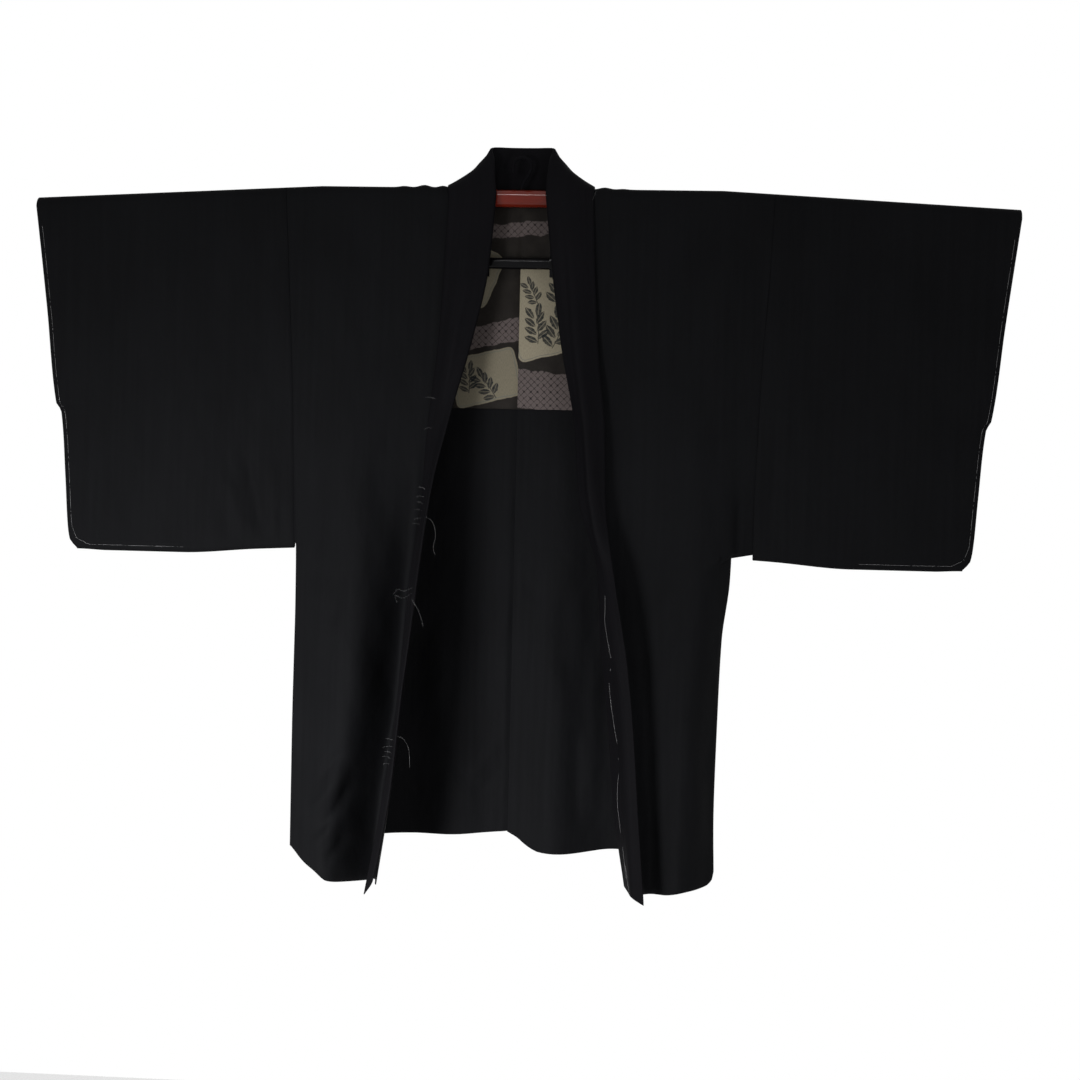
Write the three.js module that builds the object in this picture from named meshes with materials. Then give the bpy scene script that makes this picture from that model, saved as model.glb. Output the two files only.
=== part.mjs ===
// Black silk haori jacket, hung open on a kimono hanger. Millimetres, +Z up, +X to the wearer's left,
// front towards -Y. The origin is the inside top of the hanger's hook.
import * as THREE from 'three';

// ---- driving sizes ------------------------------------------------------------------------------
const wall = { panel: 1.5, collar: 2.0, lining: 1.0 };
const seamGap = 0.3;
const seamInset = 0.35;    // each piece's edge stops this far from the seam line, because its wall leans

const rod = {
  height: -53,          // centre line at the middle of the hanger
  radius: 11.5,
  tubeHalf: 270,        // half length of the middle tube
  armRadius: 10.8,
  armDroop: 0.052,      // fall per mm along each outer arm
  reach: 645,
  armGap: 0.9,
  sides: 20,
};
const clothRadius = 13.2; // middle of the cloth's wall where it bends over the rod
const hook = { inside: 10, wire: 4.5, tipDrop: 9, stemSide: 12, sides: 5 };
const obiBar = { height: -140, radius: 7.5, half: 170, sides: 18 };
const strut = { x: 45, thick: 9, neckHalf: 5, eye: 7.9, outer: 11, tail: -158 };

const neckHalf = 92;    // from the centre back to where the collar crosses the shoulder
const armpit = -526;    // height where the sleeve leaves the body
const liningTop = -60;
const liningEnd = -334;

// ---- tables -------------------------------------------------------------------------------------
// Armhole seam and, below the armpit, the side seam: distance from the centre at each height.
const armholeSeam = {
  left: { z: [-40, -150, -225, -360, -450, -540], x: [338, 334, 329, 324, 321, 321] },
  right: { z: [-40, -150, -225, -360, -450, -540], x: [317, 311, 307, 301, 298, 296] },
};
const sideSeam = {
  left: {
    z: [-500, -560, -640, -730, -850, -940],
    x: [293, 291, 282, 279, 277, 279],
    frontY: [-4, -7, -9, -11, -12, -12],
    backY: [4, 9, 15, 20, 26, 29],
  },
  right: {
    z: [-500, -560, -640, -730, -850, -940],
    x: [294, 292, 291, 291, 290, 289],
    frontY: [-4, -7, -9, -11, -13, -15],
    backY: [4, 9, 15, 20, 25, 28],
  },
};
// Half the depth between a sleeve's two layers, at a share of the way from the rod to the lower edge.
const sleeveDepth = { share: [0, 0.15, 0.45, 0.8, 1], half: [13.2, 10.5, 7.2, 5, 3.2] };
// Outer edge of a sleeve; the wrist opening ends at the small step.
const sleeveEdge = {
  share: [0, 0.3, 0.575, 0.605, 0.8, 0.93, 0.975, 1],
  x: [660, 643, 628, 622, 614, 609.5, 606, 596],
};
const sleeveClosedFrom = 0.59;
// Lower edge of a sleeve.
const sleeveHem = { x: [296, 350, 450, 600], z: [-526, -529, -536, -536] };

// Front panels: crest and valley of the big fold, then the seam to the collar. Distances from the centre.
const frontFold = {
  left: {
    z: [-40, -150, -250, -350, -450, -540, -640, -720, -840, -940],
    crestX: [262, 260, 258, 256, 254, 250, 242, 238, 236, 236],
    crestY: [-13.2, -14, -16, -20, -28, -38, -50, -56, -60, -60],
    valleyX: [170, 165, 155, 148, 150, 160, 174, 183, 191, 196],
    valleyY: [-13.2, -14, -15, -16, -17, -24, -38, -46, -50, -50],
    seamX: [92, 97, 104, 115, 120, 131, 150, 161, 171, 178],
    seamY: [-13.2, -15, -17, -22, -30, -54, -80, -86, -88, -86],
  },
  right: {
    z: [-40, -150, -250, -350, -450, -540, -640, -720, -840, -940],
    crestX: [246, 244, 238, 228, 212, 200, 202, 208, 227, 234],
    crestY: [-13.2, -14, -16, -20, -28, -42, -56, -58, -58, -56],
    valleyX: [150, 146, 140, 134, 132, 139, 146, 153, 169, 180],
    valleyY: [-13.2, -14, -15, -15, -12, -8, -5, -4, -4, -4],
    seamX: [92, 95, 102, 111, 116, 122, 128, 134, 148, 162],
    seamY: [-13.2, -15, -18, -24, -36, -54, -70, -74, -76, -76],
  },
};
// Collar below the shoulder: fold towards the opening, ridge of the turned-back half, and its free edge.
const collarRun = {
  left: {
    z: [-53, -150, -250, -350, -450, -540, -640, -720, -840, -940],
    foldX: [33.8, 45, 60, 80, 89.5, 118, 125, 136, 147, 164.4],
    foldY: [-20, -21, -24, -27, -30, -38, -46, -48, -48, -48],
    ridgeX: [65, 73, 82, 96, 106, 127, 145.5, 156, 166, 173],
    ridgeY: [-24, -32, -40, -48, -54, -64, -84, -89.5, -91.5, -89.5],
    freeX: [97, 102, 109.5, 121, 125.5, 139.5, 158.5, 168.5, 179, 188.4],
    freeY: [-17.5, -21, -26, -34, -44, -76, -92, -96, -98, -96],
  },
  right: {
    z: [-53, -150, -250, -350, -450, -540, -640, -720, -840, -940],
    foldX: [31.5, 38.6, 57.7, 81.5, 101, 110, 118.5, 127, 137.5, 152.8],
    foldY: [-20, -24, -32, -54, -84, -106, -124, -130, -132, -130],
    ridgeX: [64, 70, 83, 97.2, 109.5, 118.7, 125.6, 132.7, 146, 163],
    ridgeY: [-24, -33, -40, -46, -64, -84, -100, -104, -105, -104],
    freeX: [95, 99.5, 105, 114.7, 119.5, 128.7, 135, 141, 158, 176],
    freeY: [-17.5, -20, -24, -31, -42, -62, -76, -80, -82, -82],
  },
};
// Hem heights: along a front by distance from the centre, then the collar's own lower corners.
const frontHem = {
  left: {
    x: [178, 194, 212, 238, 268, 277, 280],
    z: [-966, -969, -969.4, -965.2, -960.7, -953.6, -936.4],
    seam: -966, fold: -959, ridge: -968, free: -976,
  },
  right: {
    x: [162, 186, 210, 231, 247, 265, 288],
    z: [-966, -972.9, -970.9, -967.5, -957, -946.5, -928.9],
    seam: -966, fold: -929.5, ridge: -958, free: -978,
  },
};
const backHem = {
  left: { x: [0, 12, 28, 45, 75, 151, 290], z: [-907, -913, -925, -932, -933.5, -926, -936] },
  right: { x: [0, 90, 167, 290], z: [-906, -913, -915, -929] },
};
// Back: distance behind the rod's centre at the centre seam, and the depth of its soft folds.
const backDrop = { z: [-53, -140, -340, -530, -730, -940], y: [13.2, 16, 20, 24, 28, 30], fold: [0, 0, 1.5, 4, 8, 10] };
const backFolds = {
  left: { x: [62, 138, 215], width: [30, 32, 38], depth: [-1.5, 0.8, -0.8] },
  right: { x: [66, 132, 205], width: [30, 30, 40], depth: [-1.1, 0.9, -0.7] },
};
// Collar round the neck, from the front of the shoulder to the centre back, on the wearer's left.
const neckRun = [
  { seam: [91.6, -10.2, -43.6], fold: [34, -16, -28], ridge: [66, -19, -37], free: [97.5, -14, -41.5] },
  { seam: [91.6, 0, -39.4], fold: [36.5, -7, -3], ridge: [67, -6, -19], free: [98, 0, -36.4] },
  { seam: [91.2, 8.9, -42.8], fold: [40.5, 7, 16], ridge: [66, 10, -15], free: [96.5, 13, -41.5] },
  { seam: [82, 12.6, -46.6], fold: [34, 17, 19.5], ridge: [57, 20.5, -14], free: [85, 20.5, -50] },
  { seam: [48, 12.8, -46.8], fold: [20, 20.5, 20], ridge: [36, 24, -14], free: [52, 23.5, -50] },
];
const neckCentre = { seam: [0, 12.8, -46.8], fold: [0, 21, 20], ridge: [0, 25, -14], free: [0, 24.5, -50] };

// ---- materials ----------------------------------------------------------------------------------
const silk = new THREE.MeshStandardMaterial({ color: 0x131317, roughness: 0.72, metalness: 0 });
const collarSilk = new THREE.MeshStandardMaterial({ color: 0x15141a, roughness: 0.7, metalness: 0 });
const liningSilk = new THREE.MeshStandardMaterial({ color: 0x6f675f, roughness: 0.5, metalness: 0 });
const redLacquer = new THREE.MeshStandardMaterial({ color: 0x8c2c17, roughness: 0.25, metalness: 0 });
const blackPlastic = new THREE.MeshStandardMaterial({ color: 0x0f0f10, roughness: 0.25, metalness: 0 });

// ---- helpers ------------------------------------------------------------------------------------
const v = (x, y, z) => new THREE.Vector3(x, y, z);
const mix = (a, b, t) => a + (b - a) * t;

// Smooth curve through a table's rows, read at one value of its key column.
function read(table, key, at, column) {
  const keys = table[key];
  const values = table[column];
  const rising = keys[keys.length - 1] > keys[0] ? 1 : -1;
  const last = keys.length - 1;
  let i = 0;
  while (i < last - 1 && (at - keys[i + 1]) * rising > 0) i++;
  const slope = (k) => (values[k + 1] - values[k]) / (keys[k + 1] - keys[k]);
  const tangent = (k) => {
    if (k === 0) return slope(0);
    if (k === last) return slope(last - 1);
    const [before, after] = [slope(k - 1), slope(k)];
    return before * after <= 0 ? 0 : (2 * before * after) / (before + after);
  };
  const span = keys[i + 1] - keys[i];
  const t = THREE.MathUtils.clamp((at - keys[i]) / span, 0, 1);
  const [t2, t3] = [t * t, t * t * t];
  return values[i] * (2 * t3 - 3 * t2 + 1) + values[i + 1] * (3 * t2 - 2 * t3)
    + tangent(i) * span * (t3 - 2 * t2 + t) + tangent(i + 1) * span * (t3 - t2);
}

// Height of the rod's centre line at a distance from the middle.
function rodHeight(x) {
  return rod.height - Math.max(Math.abs(x) - rod.tubeHalf, 0) * rod.armDroop;
}

// Closed wall round a surface of four-sided cells: points moved out both ways, with rims at open edges.
function wallGeometry(points, cells, thickness) {
  const normals = points.map(() => v(0, 0, 0));
  for (const [a, b, c, d] of cells) {
    const n = points[c].clone().sub(points[a]).cross(points[d].clone().sub(points[b]));
    for (const k of [a, b, c, d]) normals[k].add(n.clone().normalize());
  }
  const count = points.length;
  const outer = points.map((p, k) => p.clone().addScaledVector(normals[k].normalize(), thickness / 2));
  const inner = points.map((p, k) => p.clone().addScaledVector(normals[k], -thickness / 2));
  const index = [];
  const edges = new Map();
  for (const [a, b, c, d] of cells) {
    index.push(a, b, c, a, c, d);
    index.push(count + a, count + c, count + b, count + a, count + d, count + c);
    for (const [from, to] of [[a, b], [b, c], [c, d], [d, a]]) {
      const back = `${to},${from}`;
      if (edges.has(back)) edges.delete(back);
      else edges.set(`${from},${to}`, [from, to]);
    }
  }
  for (const [from, to] of edges.values()) {
    index.push(from, count + from, to, to, count + from, count + to);
  }
  const geometry = new THREE.BufferGeometry();
  const flat = [...outer, ...inner].flatMap((p) => [p.x, p.y, p.z]);
  geometry.setAttribute('position', new THREE.Float32BufferAttribute(flat, 3));
  geometry.setIndex(index);
  geometry.computeVertexNormals();
  return geometry;
}

// Cells of a grid of rows and columns; a ring of columns joins its last one to its first.
function gridCells(rows, columns, { ring = false, flip = false } = {}) {
  const cells = [];
  const across = ring ? columns : columns - 1;
  for (let r = 0; r < rows - 1; r++) {
    for (let c = 0; c < across; c++) {
      const next = (c + 1) % columns;
      const cell = [r * columns + c, r * columns + next, (r + 1) * columns + next, (r + 1) * columns + c];
      cells.push(flip ? cell.reverse() : cell);
    }
  }
  return cells;
}

function named(name, geometry, material) {
  const mesh = new THREE.Mesh(geometry, material);
  mesh.name = name;
  return mesh;
}

const sideSign = { left: 1, right: -1 };

// ---- body: each half is one length of cloth, up the front, over the rod and down the back ----------
const overRod = [150, 120, 90, 60].map((deg) => THREE.MathUtils.degToRad(deg));
const neckAngle = THREE.MathUtils.degToRad(24);
const frontRows = [1, 0.95, 0.88, 0.79, 0.7, 0.61, 0.55, 0.536, 0.46, 0.38, 0.3, 0.2, 0.1, 0];
const armpitShare = 0.536;
const frontColumns = 13;
const neckColumns = 3;

// Outline of one front at a share of its length: side seam, crest, valley, collar seam.
function frontLine(side, share) {
  const folds = frontFold[side];
  const hem = frontHem[side];
  const z = mix(rod.height, -940, share);
  const above = share <= armpitShare;
  const edge = above ? armholeSeam[side] : sideSeam[side];
  const sideX = read(edge, 'z', z, 'x') - seamInset;
  const depth = read(sleeveDepth, 'share', (rod.height - z) / (rod.height - armpit), 'half');
  const sideY = above ? -depth : read(sideSeam[side], 'z', z, 'frontY');
  const curve = new THREE.CatmullRomCurve3([
    v(sideX, sideY, 0),
    v(read(folds, 'z', z, 'crestX'), read(folds, 'z', z, 'crestY'), 0),
    v(read(folds, 'z', z, 'valleyX'), read(folds, 'z', z, 'valleyY'), 0),
    v(read(folds, 'z', z, 'seamX') + seamGap * 0.5, read(folds, 'z', z, 'seamY'), 0),
  ], false, 'centripetal');
  return curve.getPoints(frontColumns).map((p) => (
    v(p.x, p.y, mix(rodHeight(p.x), read(hem, 'x', p.x, 'z'), share))));
}

// One point of a back panel: distance from the centre and share of the way down.
function backPoint(side, column, share) {
  const z = mix(rod.height, -940, share);
  const above = share <= armpitShare;
  const edge = above ? armholeSeam[side] : sideSeam[side];
  const sideX = read(edge, 'z', z, 'x') - seamInset;
  const depth = read(sleeveDepth, 'share', (rod.height - z) / (rod.height - armpit), 'half');
  const sideY = above ? depth : read(sideSeam[side], 'z', z, 'backY');
  const inside = column <= frontColumns;
  const x = inside
    ? mix(sideX, neckHalf, column / frontColumns)
    : mix(neckHalf, seamGap * 0.5, (column - frontColumns) / neckColumns);
  const middleY = read(backDrop, 'z', z, 'y');
  const blend = THREE.MathUtils.smoothstep(x, 120, sideX);
  const folds = backFolds[side];
  const wave = folds.x.reduce((sum, at, k) => (
    sum + folds.depth[k] * Math.exp(-(((x - at) / folds.width[k]) ** 2))), 0);
  const y = mix(middleY, sideY, blend) + wave * read(backDrop, 'z', z, 'fold') * (1 - blend ** 4);
  return v(x, y, mix(rodHeight(x), read(backHem[side], 'x', x, 'z'), share));
}

function bodyHalf(side) {
  const points = [];
  const columns = frontColumns + neckColumns + 1;
  const none = -1;
  const grid = [];
  const put = (row, column, point) => {
    grid[row] ??= new Array(columns).fill(none);
    grid[row][column] = points.length;
    points.push(v(point.x * sideSign[side], point.y, point.z));
  };
  let row = 0;
  for (const share of frontRows) {
    frontLine(side, share).forEach((p, column) => put(row, column, p));
    row++;
  }
  const shoulder = frontLine(side, 0);
  const arcPoint = (x, angle) => v(x, clothRadius * Math.cos(angle), rodHeight(x) + clothRadius * Math.sin(angle));
  for (const angle of overRod) {
    shoulder.forEach((p, column) => put(row, column, arcPoint(p.x, angle)));
    row++;
  }
  for (let column = 0; column < columns; column++) {
    put(row, column, arcPoint(backPoint(side, column, 0).x, neckAngle));
  }
  row++;
  for (const share of [...frontRows].reverse()) {
    for (let column = 0; column < columns; column++) put(row, column, backPoint(side, column, share));
    row++;
  }
  const cells = [];
  for (let r = 0; r < row - 1; r++) {
    for (let c = 0; c < columns - 1; c++) {
      const cell = [grid[r][c], grid[r][c + 1], grid[r + 1][c + 1], grid[r + 1][c]];
      if (!cell.includes(none)) cells.push(side === 'left' ? cell.reverse() : cell);
    }
  }
  return wallGeometry(points, cells, wall.panel);
}

// ---- sleeves: a flat tube along the hanger's arm, its outer end sewn shut below the wrist ----------
const sleeveShares = [1, 0.985, 0.95, 0.88, 0.76, 0.66, 0.605, 0.575, 0.45, 0.32, 0.2, 0.1, 0];
const sleeveStations = [0, 0.12, 0.26, 0.42, 0.58, 0.74, 0.87, 0.95, 1];

function sleeve(side) {
  const points = [];
  const seam = armholeSeam[side];
  const shut = { from: 0.8, half: 1.0 };
  for (const along of sleeveStations) {
    const at = (share) => {
      const outX = read(sleeveEdge, 'share', share, 'x');
      const inX = read(seam, 'z', mix(-40, armpit, share), 'x') + seamInset;
      const x = mix(inX, outX, along);
      const z = mix(rodHeight(x), read(sleeveHem, 'x', x, 'z'), share);
      const closing = share > sleeveClosedFrom ? THREE.MathUtils.smoothstep(along, shut.from, 1) : 0;
      const half = mix(read(sleeveDepth, 'share', share, 'half'), shut.half, closing);
      return { x, z, half };
    };
    const front = sleeveShares.map((share) => at(share));
    const lower = front[0];
    const put = (x, y, z) => points.push(v(x * sideSign[side], y, z));
    for (const p of front) put(p.x, -p.half, p.z);
    const top = front[front.length - 1];
    for (const angle of [...overRod, neckAngle]) {
      put(top.x, clothRadius * Math.cos(angle), top.z + clothRadius * Math.sin(angle));
    }
    for (const p of [...front].reverse()) put(p.x, p.half, p.z);
    put(lower.x, 0, lower.z - Math.min(lower.half, 2.4));
  }
  const columns = points.length / sleeveStations.length;
  const cells = gridCells(sleeveStations.length, columns, { ring: true, flip: side === 'right' });
  return wallGeometry(points, cells, wall.panel);
}

// ---- side gussets: narrow wedges between front and back, folded inwards ----------------------------
const gussetShares = [0.552, 0.61, 0.7, 0.79, 0.88, 0.95, 1];
const gussetLine = [0.08, 0.36, 0.64, 0.9];
const gussetInset = 3;
const gussetTuck = 17;

function gusset(side) {
  const points = [];
  for (const share of gussetShares) {
    const front = frontLine(side, share)[0];
    const back = backPoint(side, 0, share);
    const tuck = gussetTuck * THREE.MathUtils.smoothstep(share, armpitShare - 0.1, 1);
    for (const t of gussetLine) {
      const inward = tuck * Math.sin(Math.PI * t) + gussetInset;
      points.push(v((mix(front.x, back.x, t) - inward) * sideSign[side], mix(front.y, back.y, t),
        mix(front.z, back.z, t)));
    }
  }
  return wallGeometry(points, gridCells(gussetShares.length, gussetLine.length, { flip: side === 'right' }),
    wall.panel);
}

// ---- collar: one strip from hem to hem round the neck, folded in half outwards ---------------------
const collarShares = [1, 0.94, 0.86, 0.77, 0.68, 0.6, 0.52, 0.44, 0.35, 0.26, 0.17, 0.08, 0];
const rollRadius = 3;
const seamClear = { upper: 1.2, left: 3.4, right: 2.8 }; // more where the collar turns sharply from its front

// Section of the collar: from its seam to the fold, round it, and back to the free edge.
function collarSection({ seam, fold, ridge, free }) {
  const toSeam = seam.clone().sub(fold).normalize();
  const toRidge = ridge.clone().sub(fold).normalize();
  const middle = toSeam.clone().add(toRidge).normalize();
  const across = toSeam.clone().sub(toRidge).normalize();
  const inner = fold.clone().addScaledVector(middle, rollRadius).addScaledVector(across, rollRadius);
  const outer = fold.clone().addScaledVector(middle, rollRadius).addScaledVector(across, -rollRadius);
  return [seam, seam.clone().lerp(inner, 0.5), inner, fold, outer, ridge, free];
}

function collarStations(side) {
  const run = collarRun[side];
  const folds = frontFold[side];
  const hem = frontHem[side];
  return collarShares.map((share) => {
    const z = mix(rod.height, -940, share);
    const at = (table, name, hemZ) => v(read(table, 'z', z, `${name}X`), read(table, 'z', z, `${name}Y`),
      mix(rod.height, hemZ, share));
    const seam = at(folds, 'seam', hem.seam);
    const fold = at(run, 'fold', hem.fold);
    const turn = THREE.MathUtils.smoothstep(share, 0.4, 0.6);
    const clear = mix(seamClear.upper, seamClear[side], turn);
    seam.addScaledVector(fold.clone().sub(seam).normalize(), clear);
    return { seam, fold, ridge: at(run, 'ridge', hem.ridge), free: at(run, 'free', hem.free) };
  });
}

function collar() {
  const triple = (row, sign) => Object.fromEntries(
    Object.entries(row).map(([name, p]) => [name, v(p[0] * sign, p[1], p[2])]));
  const mirror = (row) => Object.fromEntries(
    Object.entries(row).map(([name, p]) => [name, v(-p.x, p.y, p.z)]));
  const stations = [
    ...collarStations('left'),
    ...neckRun.map((row) => triple(row, 1)),
    triple(neckCentre, 1),
    ...[...neckRun].reverse().map((row) => triple(row, -1)),
    ...collarStations('right').reverse().map(mirror),
  ];
  const sections = stations.map(collarSection);
  return wallGeometry(sections.flat(), gridCells(sections.length, sections[0].length), wall.collar);
}

// ---- lining: inside the upper back, made from the back panel's own points --------------------------
const liningRows = 6;
const liningMargin = 8;

function lining(side) {
  const points = [];
  const offset = (wall.panel + wall.lining) / 2 + seamGap + 0.15;
  const columns = frontColumns + neckColumns;
  for (let r = 0; r <= liningRows; r++) {
    const z = mix(liningTop, liningEnd, r / liningRows);
    for (let c = 1; c <= columns; c++) {
      const guess = backPoint(side, c, 0.1);
      const hemZ = read(backHem[side], 'x', guess.x, 'z');
      const share = (rodHeight(guess.x) - z) / (rodHeight(guess.x) - hemZ);
      const p = backPoint(side, c, share);
      const edge = c === 1 ? liningMargin : 0;
      points.push(v((p.x - edge) * sideSign[side], p.y - offset, z));
    }
  }
  return wallGeometry(points, gridCells(liningRows + 1, columns, { flip: side === 'right' }), wall.lining);
}

// ---- hanger -------------------------------------------------------------------------------------
// Round bar between two points, with rounded ends, as a closed lathe.
function roundBar(from, to, radius, sides) {
  const length = from.distanceTo(to);
  const nose = radius * 0.35;
  const outline = [[0, 0], [radius - nose, 0], [radius, nose], [radius, length - nose],
    [radius - nose, length], [0, length]].map(([r, h]) => new THREE.Vector2(r, h));
  const geometry = new THREE.LatheGeometry(outline, sides);
  const turn = new THREE.Quaternion().setFromUnitVectors(v(0, 1, 0), to.clone().sub(from).normalize());
  geometry.applyQuaternion(turn);
  geometry.translate(from.x, from.y, from.z);
  return geometry;
}

function hangerHook() {
  const radius = hook.inside + hook.wire / 2;
  const centre = -hook.inside;
  const path = new THREE.CurvePath();
  const foot = v(0, 0, rod.height + rod.radius + seamInset);
  const bend = v(radius, 0, centre);
  path.add(new THREE.CubicBezierCurve3(foot, v(0, 0, foot.z + hook.stemSide), v(radius, 0, centre - hook.stemSide),
    bend));
  const crown = [];
  for (let k = 0; k <= 12; k++) {
    const angle = THREE.MathUtils.degToRad(k * 15);
    crown.push(v(radius * Math.cos(angle), 0, centre + radius * Math.sin(angle)));
  }
  path.add(new THREE.CatmullRomCurve3(crown));
  path.add(new THREE.LineCurve3(crown[crown.length - 1], v(-radius, 0, centre - hook.tipDrop)));
  const round = new THREE.Shape();
  round.absarc(0, 0, hook.wire / 2, 0, 2 * Math.PI, false);
  return new THREE.ExtrudeGeometry(round, {
    extrudePath: new THREE.CatmullRomCurve3(path.getSpacedPoints(26)),
    steps: 34, bevelEnabled: false, curveSegments: hook.sides,
  });
}

// Flat strut under the rod, with an eye that the bar passes through.
function barStrut(sign) {
  const top = rod.height - rod.radius - seamGap;
  const shape = new THREE.Shape();
  shape.moveTo(-strut.neckHalf, top);
  shape.lineTo(-strut.neckHalf, obiBar.height + strut.outer * 0.9);
  shape.absarc(0, obiBar.height, strut.outer, Math.PI * 0.65, Math.PI * 1.3, false);
  shape.lineTo(-3, strut.tail);
  shape.lineTo(3, strut.tail);
  shape.absarc(0, obiBar.height, strut.outer, Math.PI * 1.7, Math.PI * 2.35, false);
  shape.lineTo(strut.neckHalf, obiBar.height + strut.outer * 0.9);
  shape.lineTo(strut.neckHalf, top);
  shape.closePath();
  const eye = new THREE.Path();
  eye.absarc(0, obiBar.height, strut.eye, 0, 2 * Math.PI, true);
  shape.holes.push(eye);
  const geometry = new THREE.ExtrudeGeometry(shape, { depth: strut.thick, bevelEnabled: false, curveSegments: 10 });
  geometry.rotateX(Math.PI / 2);
  geometry.rotateZ(Math.PI / 2);
  geometry.translate(sign * strut.x - strut.thick / 2, 0, 0);
  return geometry;
}

// ---- assembly -----------------------------------------------------------------------------------
const group = new THREE.Group();

for (const side of ['left', 'right']) {
  const sign = sideSign[side];
  group.add(named(`body_${side}`, bodyHalf(side), silk));
  group.add(named(`sleeve_${side}`, sleeve(side), silk));
  group.add(named(`gusset_${side}`, gusset(side), silk));
  group.add(named(`lining_${side}`, lining(side), liningSilk));
  const start = sign * (rod.tubeHalf + rod.armGap);
  const end = sign * rod.reach;
  group.add(named(`hanger_arm_${side}`,
    roundBar(v(start, 0, rodHeight(start)), v(end, 0, rodHeight(end)), rod.armRadius, rod.sides), redLacquer));
  group.add(named(`bar_strut_${side}`, barStrut(sign), blackPlastic));
}
group.add(named('collar', collar(), collarSilk));
group.add(named('hanger_tube',
  roundBar(v(-rod.tubeHalf, 0, rod.height), v(rod.tubeHalf, 0, rod.height), rod.radius, rod.sides), redLacquer));
group.add(named('obi_bar',
  roundBar(v(-obiBar.half, 0, obiBar.height), v(obiBar.half, 0, obiBar.height), obiBar.radius, obiBar.sides),
  blackPlastic));
group.add(named('hanger_hook', hangerHook(), blackPlastic));

export default group;
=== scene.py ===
import math

import bpy
import numpy as np
from mathutils import Matrix, Vector


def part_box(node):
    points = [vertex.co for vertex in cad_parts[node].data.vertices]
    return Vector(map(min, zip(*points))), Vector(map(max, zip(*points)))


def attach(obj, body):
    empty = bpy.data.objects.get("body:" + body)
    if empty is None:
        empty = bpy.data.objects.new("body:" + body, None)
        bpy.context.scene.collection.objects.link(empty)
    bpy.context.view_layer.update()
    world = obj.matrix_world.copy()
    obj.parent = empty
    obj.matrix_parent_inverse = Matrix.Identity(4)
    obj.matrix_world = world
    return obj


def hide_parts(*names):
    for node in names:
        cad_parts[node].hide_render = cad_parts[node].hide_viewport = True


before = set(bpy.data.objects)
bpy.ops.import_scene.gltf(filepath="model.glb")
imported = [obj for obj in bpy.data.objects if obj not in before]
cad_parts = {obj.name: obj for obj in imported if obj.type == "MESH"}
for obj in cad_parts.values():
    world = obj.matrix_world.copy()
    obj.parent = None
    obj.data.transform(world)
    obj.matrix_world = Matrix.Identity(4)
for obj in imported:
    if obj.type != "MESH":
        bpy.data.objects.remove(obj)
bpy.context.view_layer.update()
mm = 0.001  # shapes below are worked out in millimetres

# camera

camera = {"at": (0.2106, -2.4939, -0.5102), "yaw": 3.99, "roll": 1.45, "lens": 62.13, "sensor": 36.0}


def makeCamera():
    data = bpy.data.cameras.new("camera")
    data.lens = camera["lens"]
    data.sensor_width = camera["sensor"]
    data.clip_start, data.clip_end = 0.05, 60
    obj = bpy.data.objects.new("camera", data)
    yaw, roll = math.radians(camera["yaw"]), math.radians(camera["roll"])
    forward = Vector((-math.sin(yaw), math.cos(yaw), 0))
    level = Vector((math.cos(yaw), math.sin(yaw), 0))
    upright = Vector((0, 0, 1))
    right = level * math.cos(roll) + upright * math.sin(roll)
    up = upright * math.cos(roll) - level * math.sin(roll)
    turn = Matrix((right, up, -forward)).transposed()
    obj.matrix_world = Matrix.Translation(camera["at"]) @ turn.to_4x4()
    bpy.context.scene.collection.objects.link(obj)
    bpy.context.scene.camera = obj


makeCamera()
print("stage: camera")

# curves and tables


def mix(a, b, t):
    return a + (b - a) * t


def smooth(t, low=0.0, high=1.0):
    t = np.clip((np.asarray(t, float) - low) / (high - low), 0, 1)
    return t * t * (3 - 2 * t)


def read(keys, values, at):
    # value of a table at some places, on a smooth curve that never overshoots its entries
    keys, values = np.asarray(keys, float), np.asarray(values, float)
    if keys[0] > keys[-1]:
        keys, values = keys[::-1], values[::-1]
    at = np.clip(at, keys[0], keys[-1])
    i = np.clip(np.searchsorted(keys, at, "right") - 1, 0, len(keys) - 2)
    slope = np.diff(values) / np.diff(keys)
    before, after = slope[:-1], slope[1:]
    agree = before * after > 0
    inner = np.where(agree, 2 * before * after / np.where(agree, before + after, 1), 0)
    tangent = np.concatenate([slope[:1], inner, slope[-1:]])
    span = keys[i + 1] - keys[i]
    t = (at - keys[i]) / span
    rise = 3 * t**2 - 2 * t**3
    bend = tangent[i] * span * (t**3 - 2 * t**2 + t) + tangent[i + 1] * span * (t**3 - t**2)
    return values[i] * (1 - rise) + values[i + 1] * rise + bend


def throughPoints(controls, t):
    # centripetal curve through four or more points in each row; t is 0 at the first and 1 at the last
    count = len(controls)
    spot = np.clip(np.asarray(t, float) * (count - 1), 0, count - 1 - 1e-9)
    first = spot.astype(int)
    w = (spot - first)[..., None]
    padded = np.concatenate([[2 * controls[0] - controls[1]], controls, [2 * controls[-1] - controls[-2]]])
    rows = np.broadcast_to(np.arange(controls.shape[1])[:, None], first.shape)
    p0, p1, p2, p3 = (padded[first + k, rows] for k in range(4))

    def gap(a, b):
        return np.maximum(np.sum((a - b) ** 2, -1, keepdims=True) ** 0.25, 1e-4)

    d0, d1, d2 = gap(p0, p1), gap(p1, p2), gap(p2, p3)
    m1 = ((p1 - p0) / d0 - (p2 - p0) / (d0 + d1) + (p2 - p1) / d1) * d1
    m2 = ((p2 - p1) / d1 - (p3 - p1) / (d1 + d2) + (p3 - p2) / d2) * d1
    return p1 + m1 * w + (3 * (p2 - p1) - 2 * m1 - m2) * w**2 + (2 * (p1 - p2) + m1 + m2) * w**3


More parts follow.
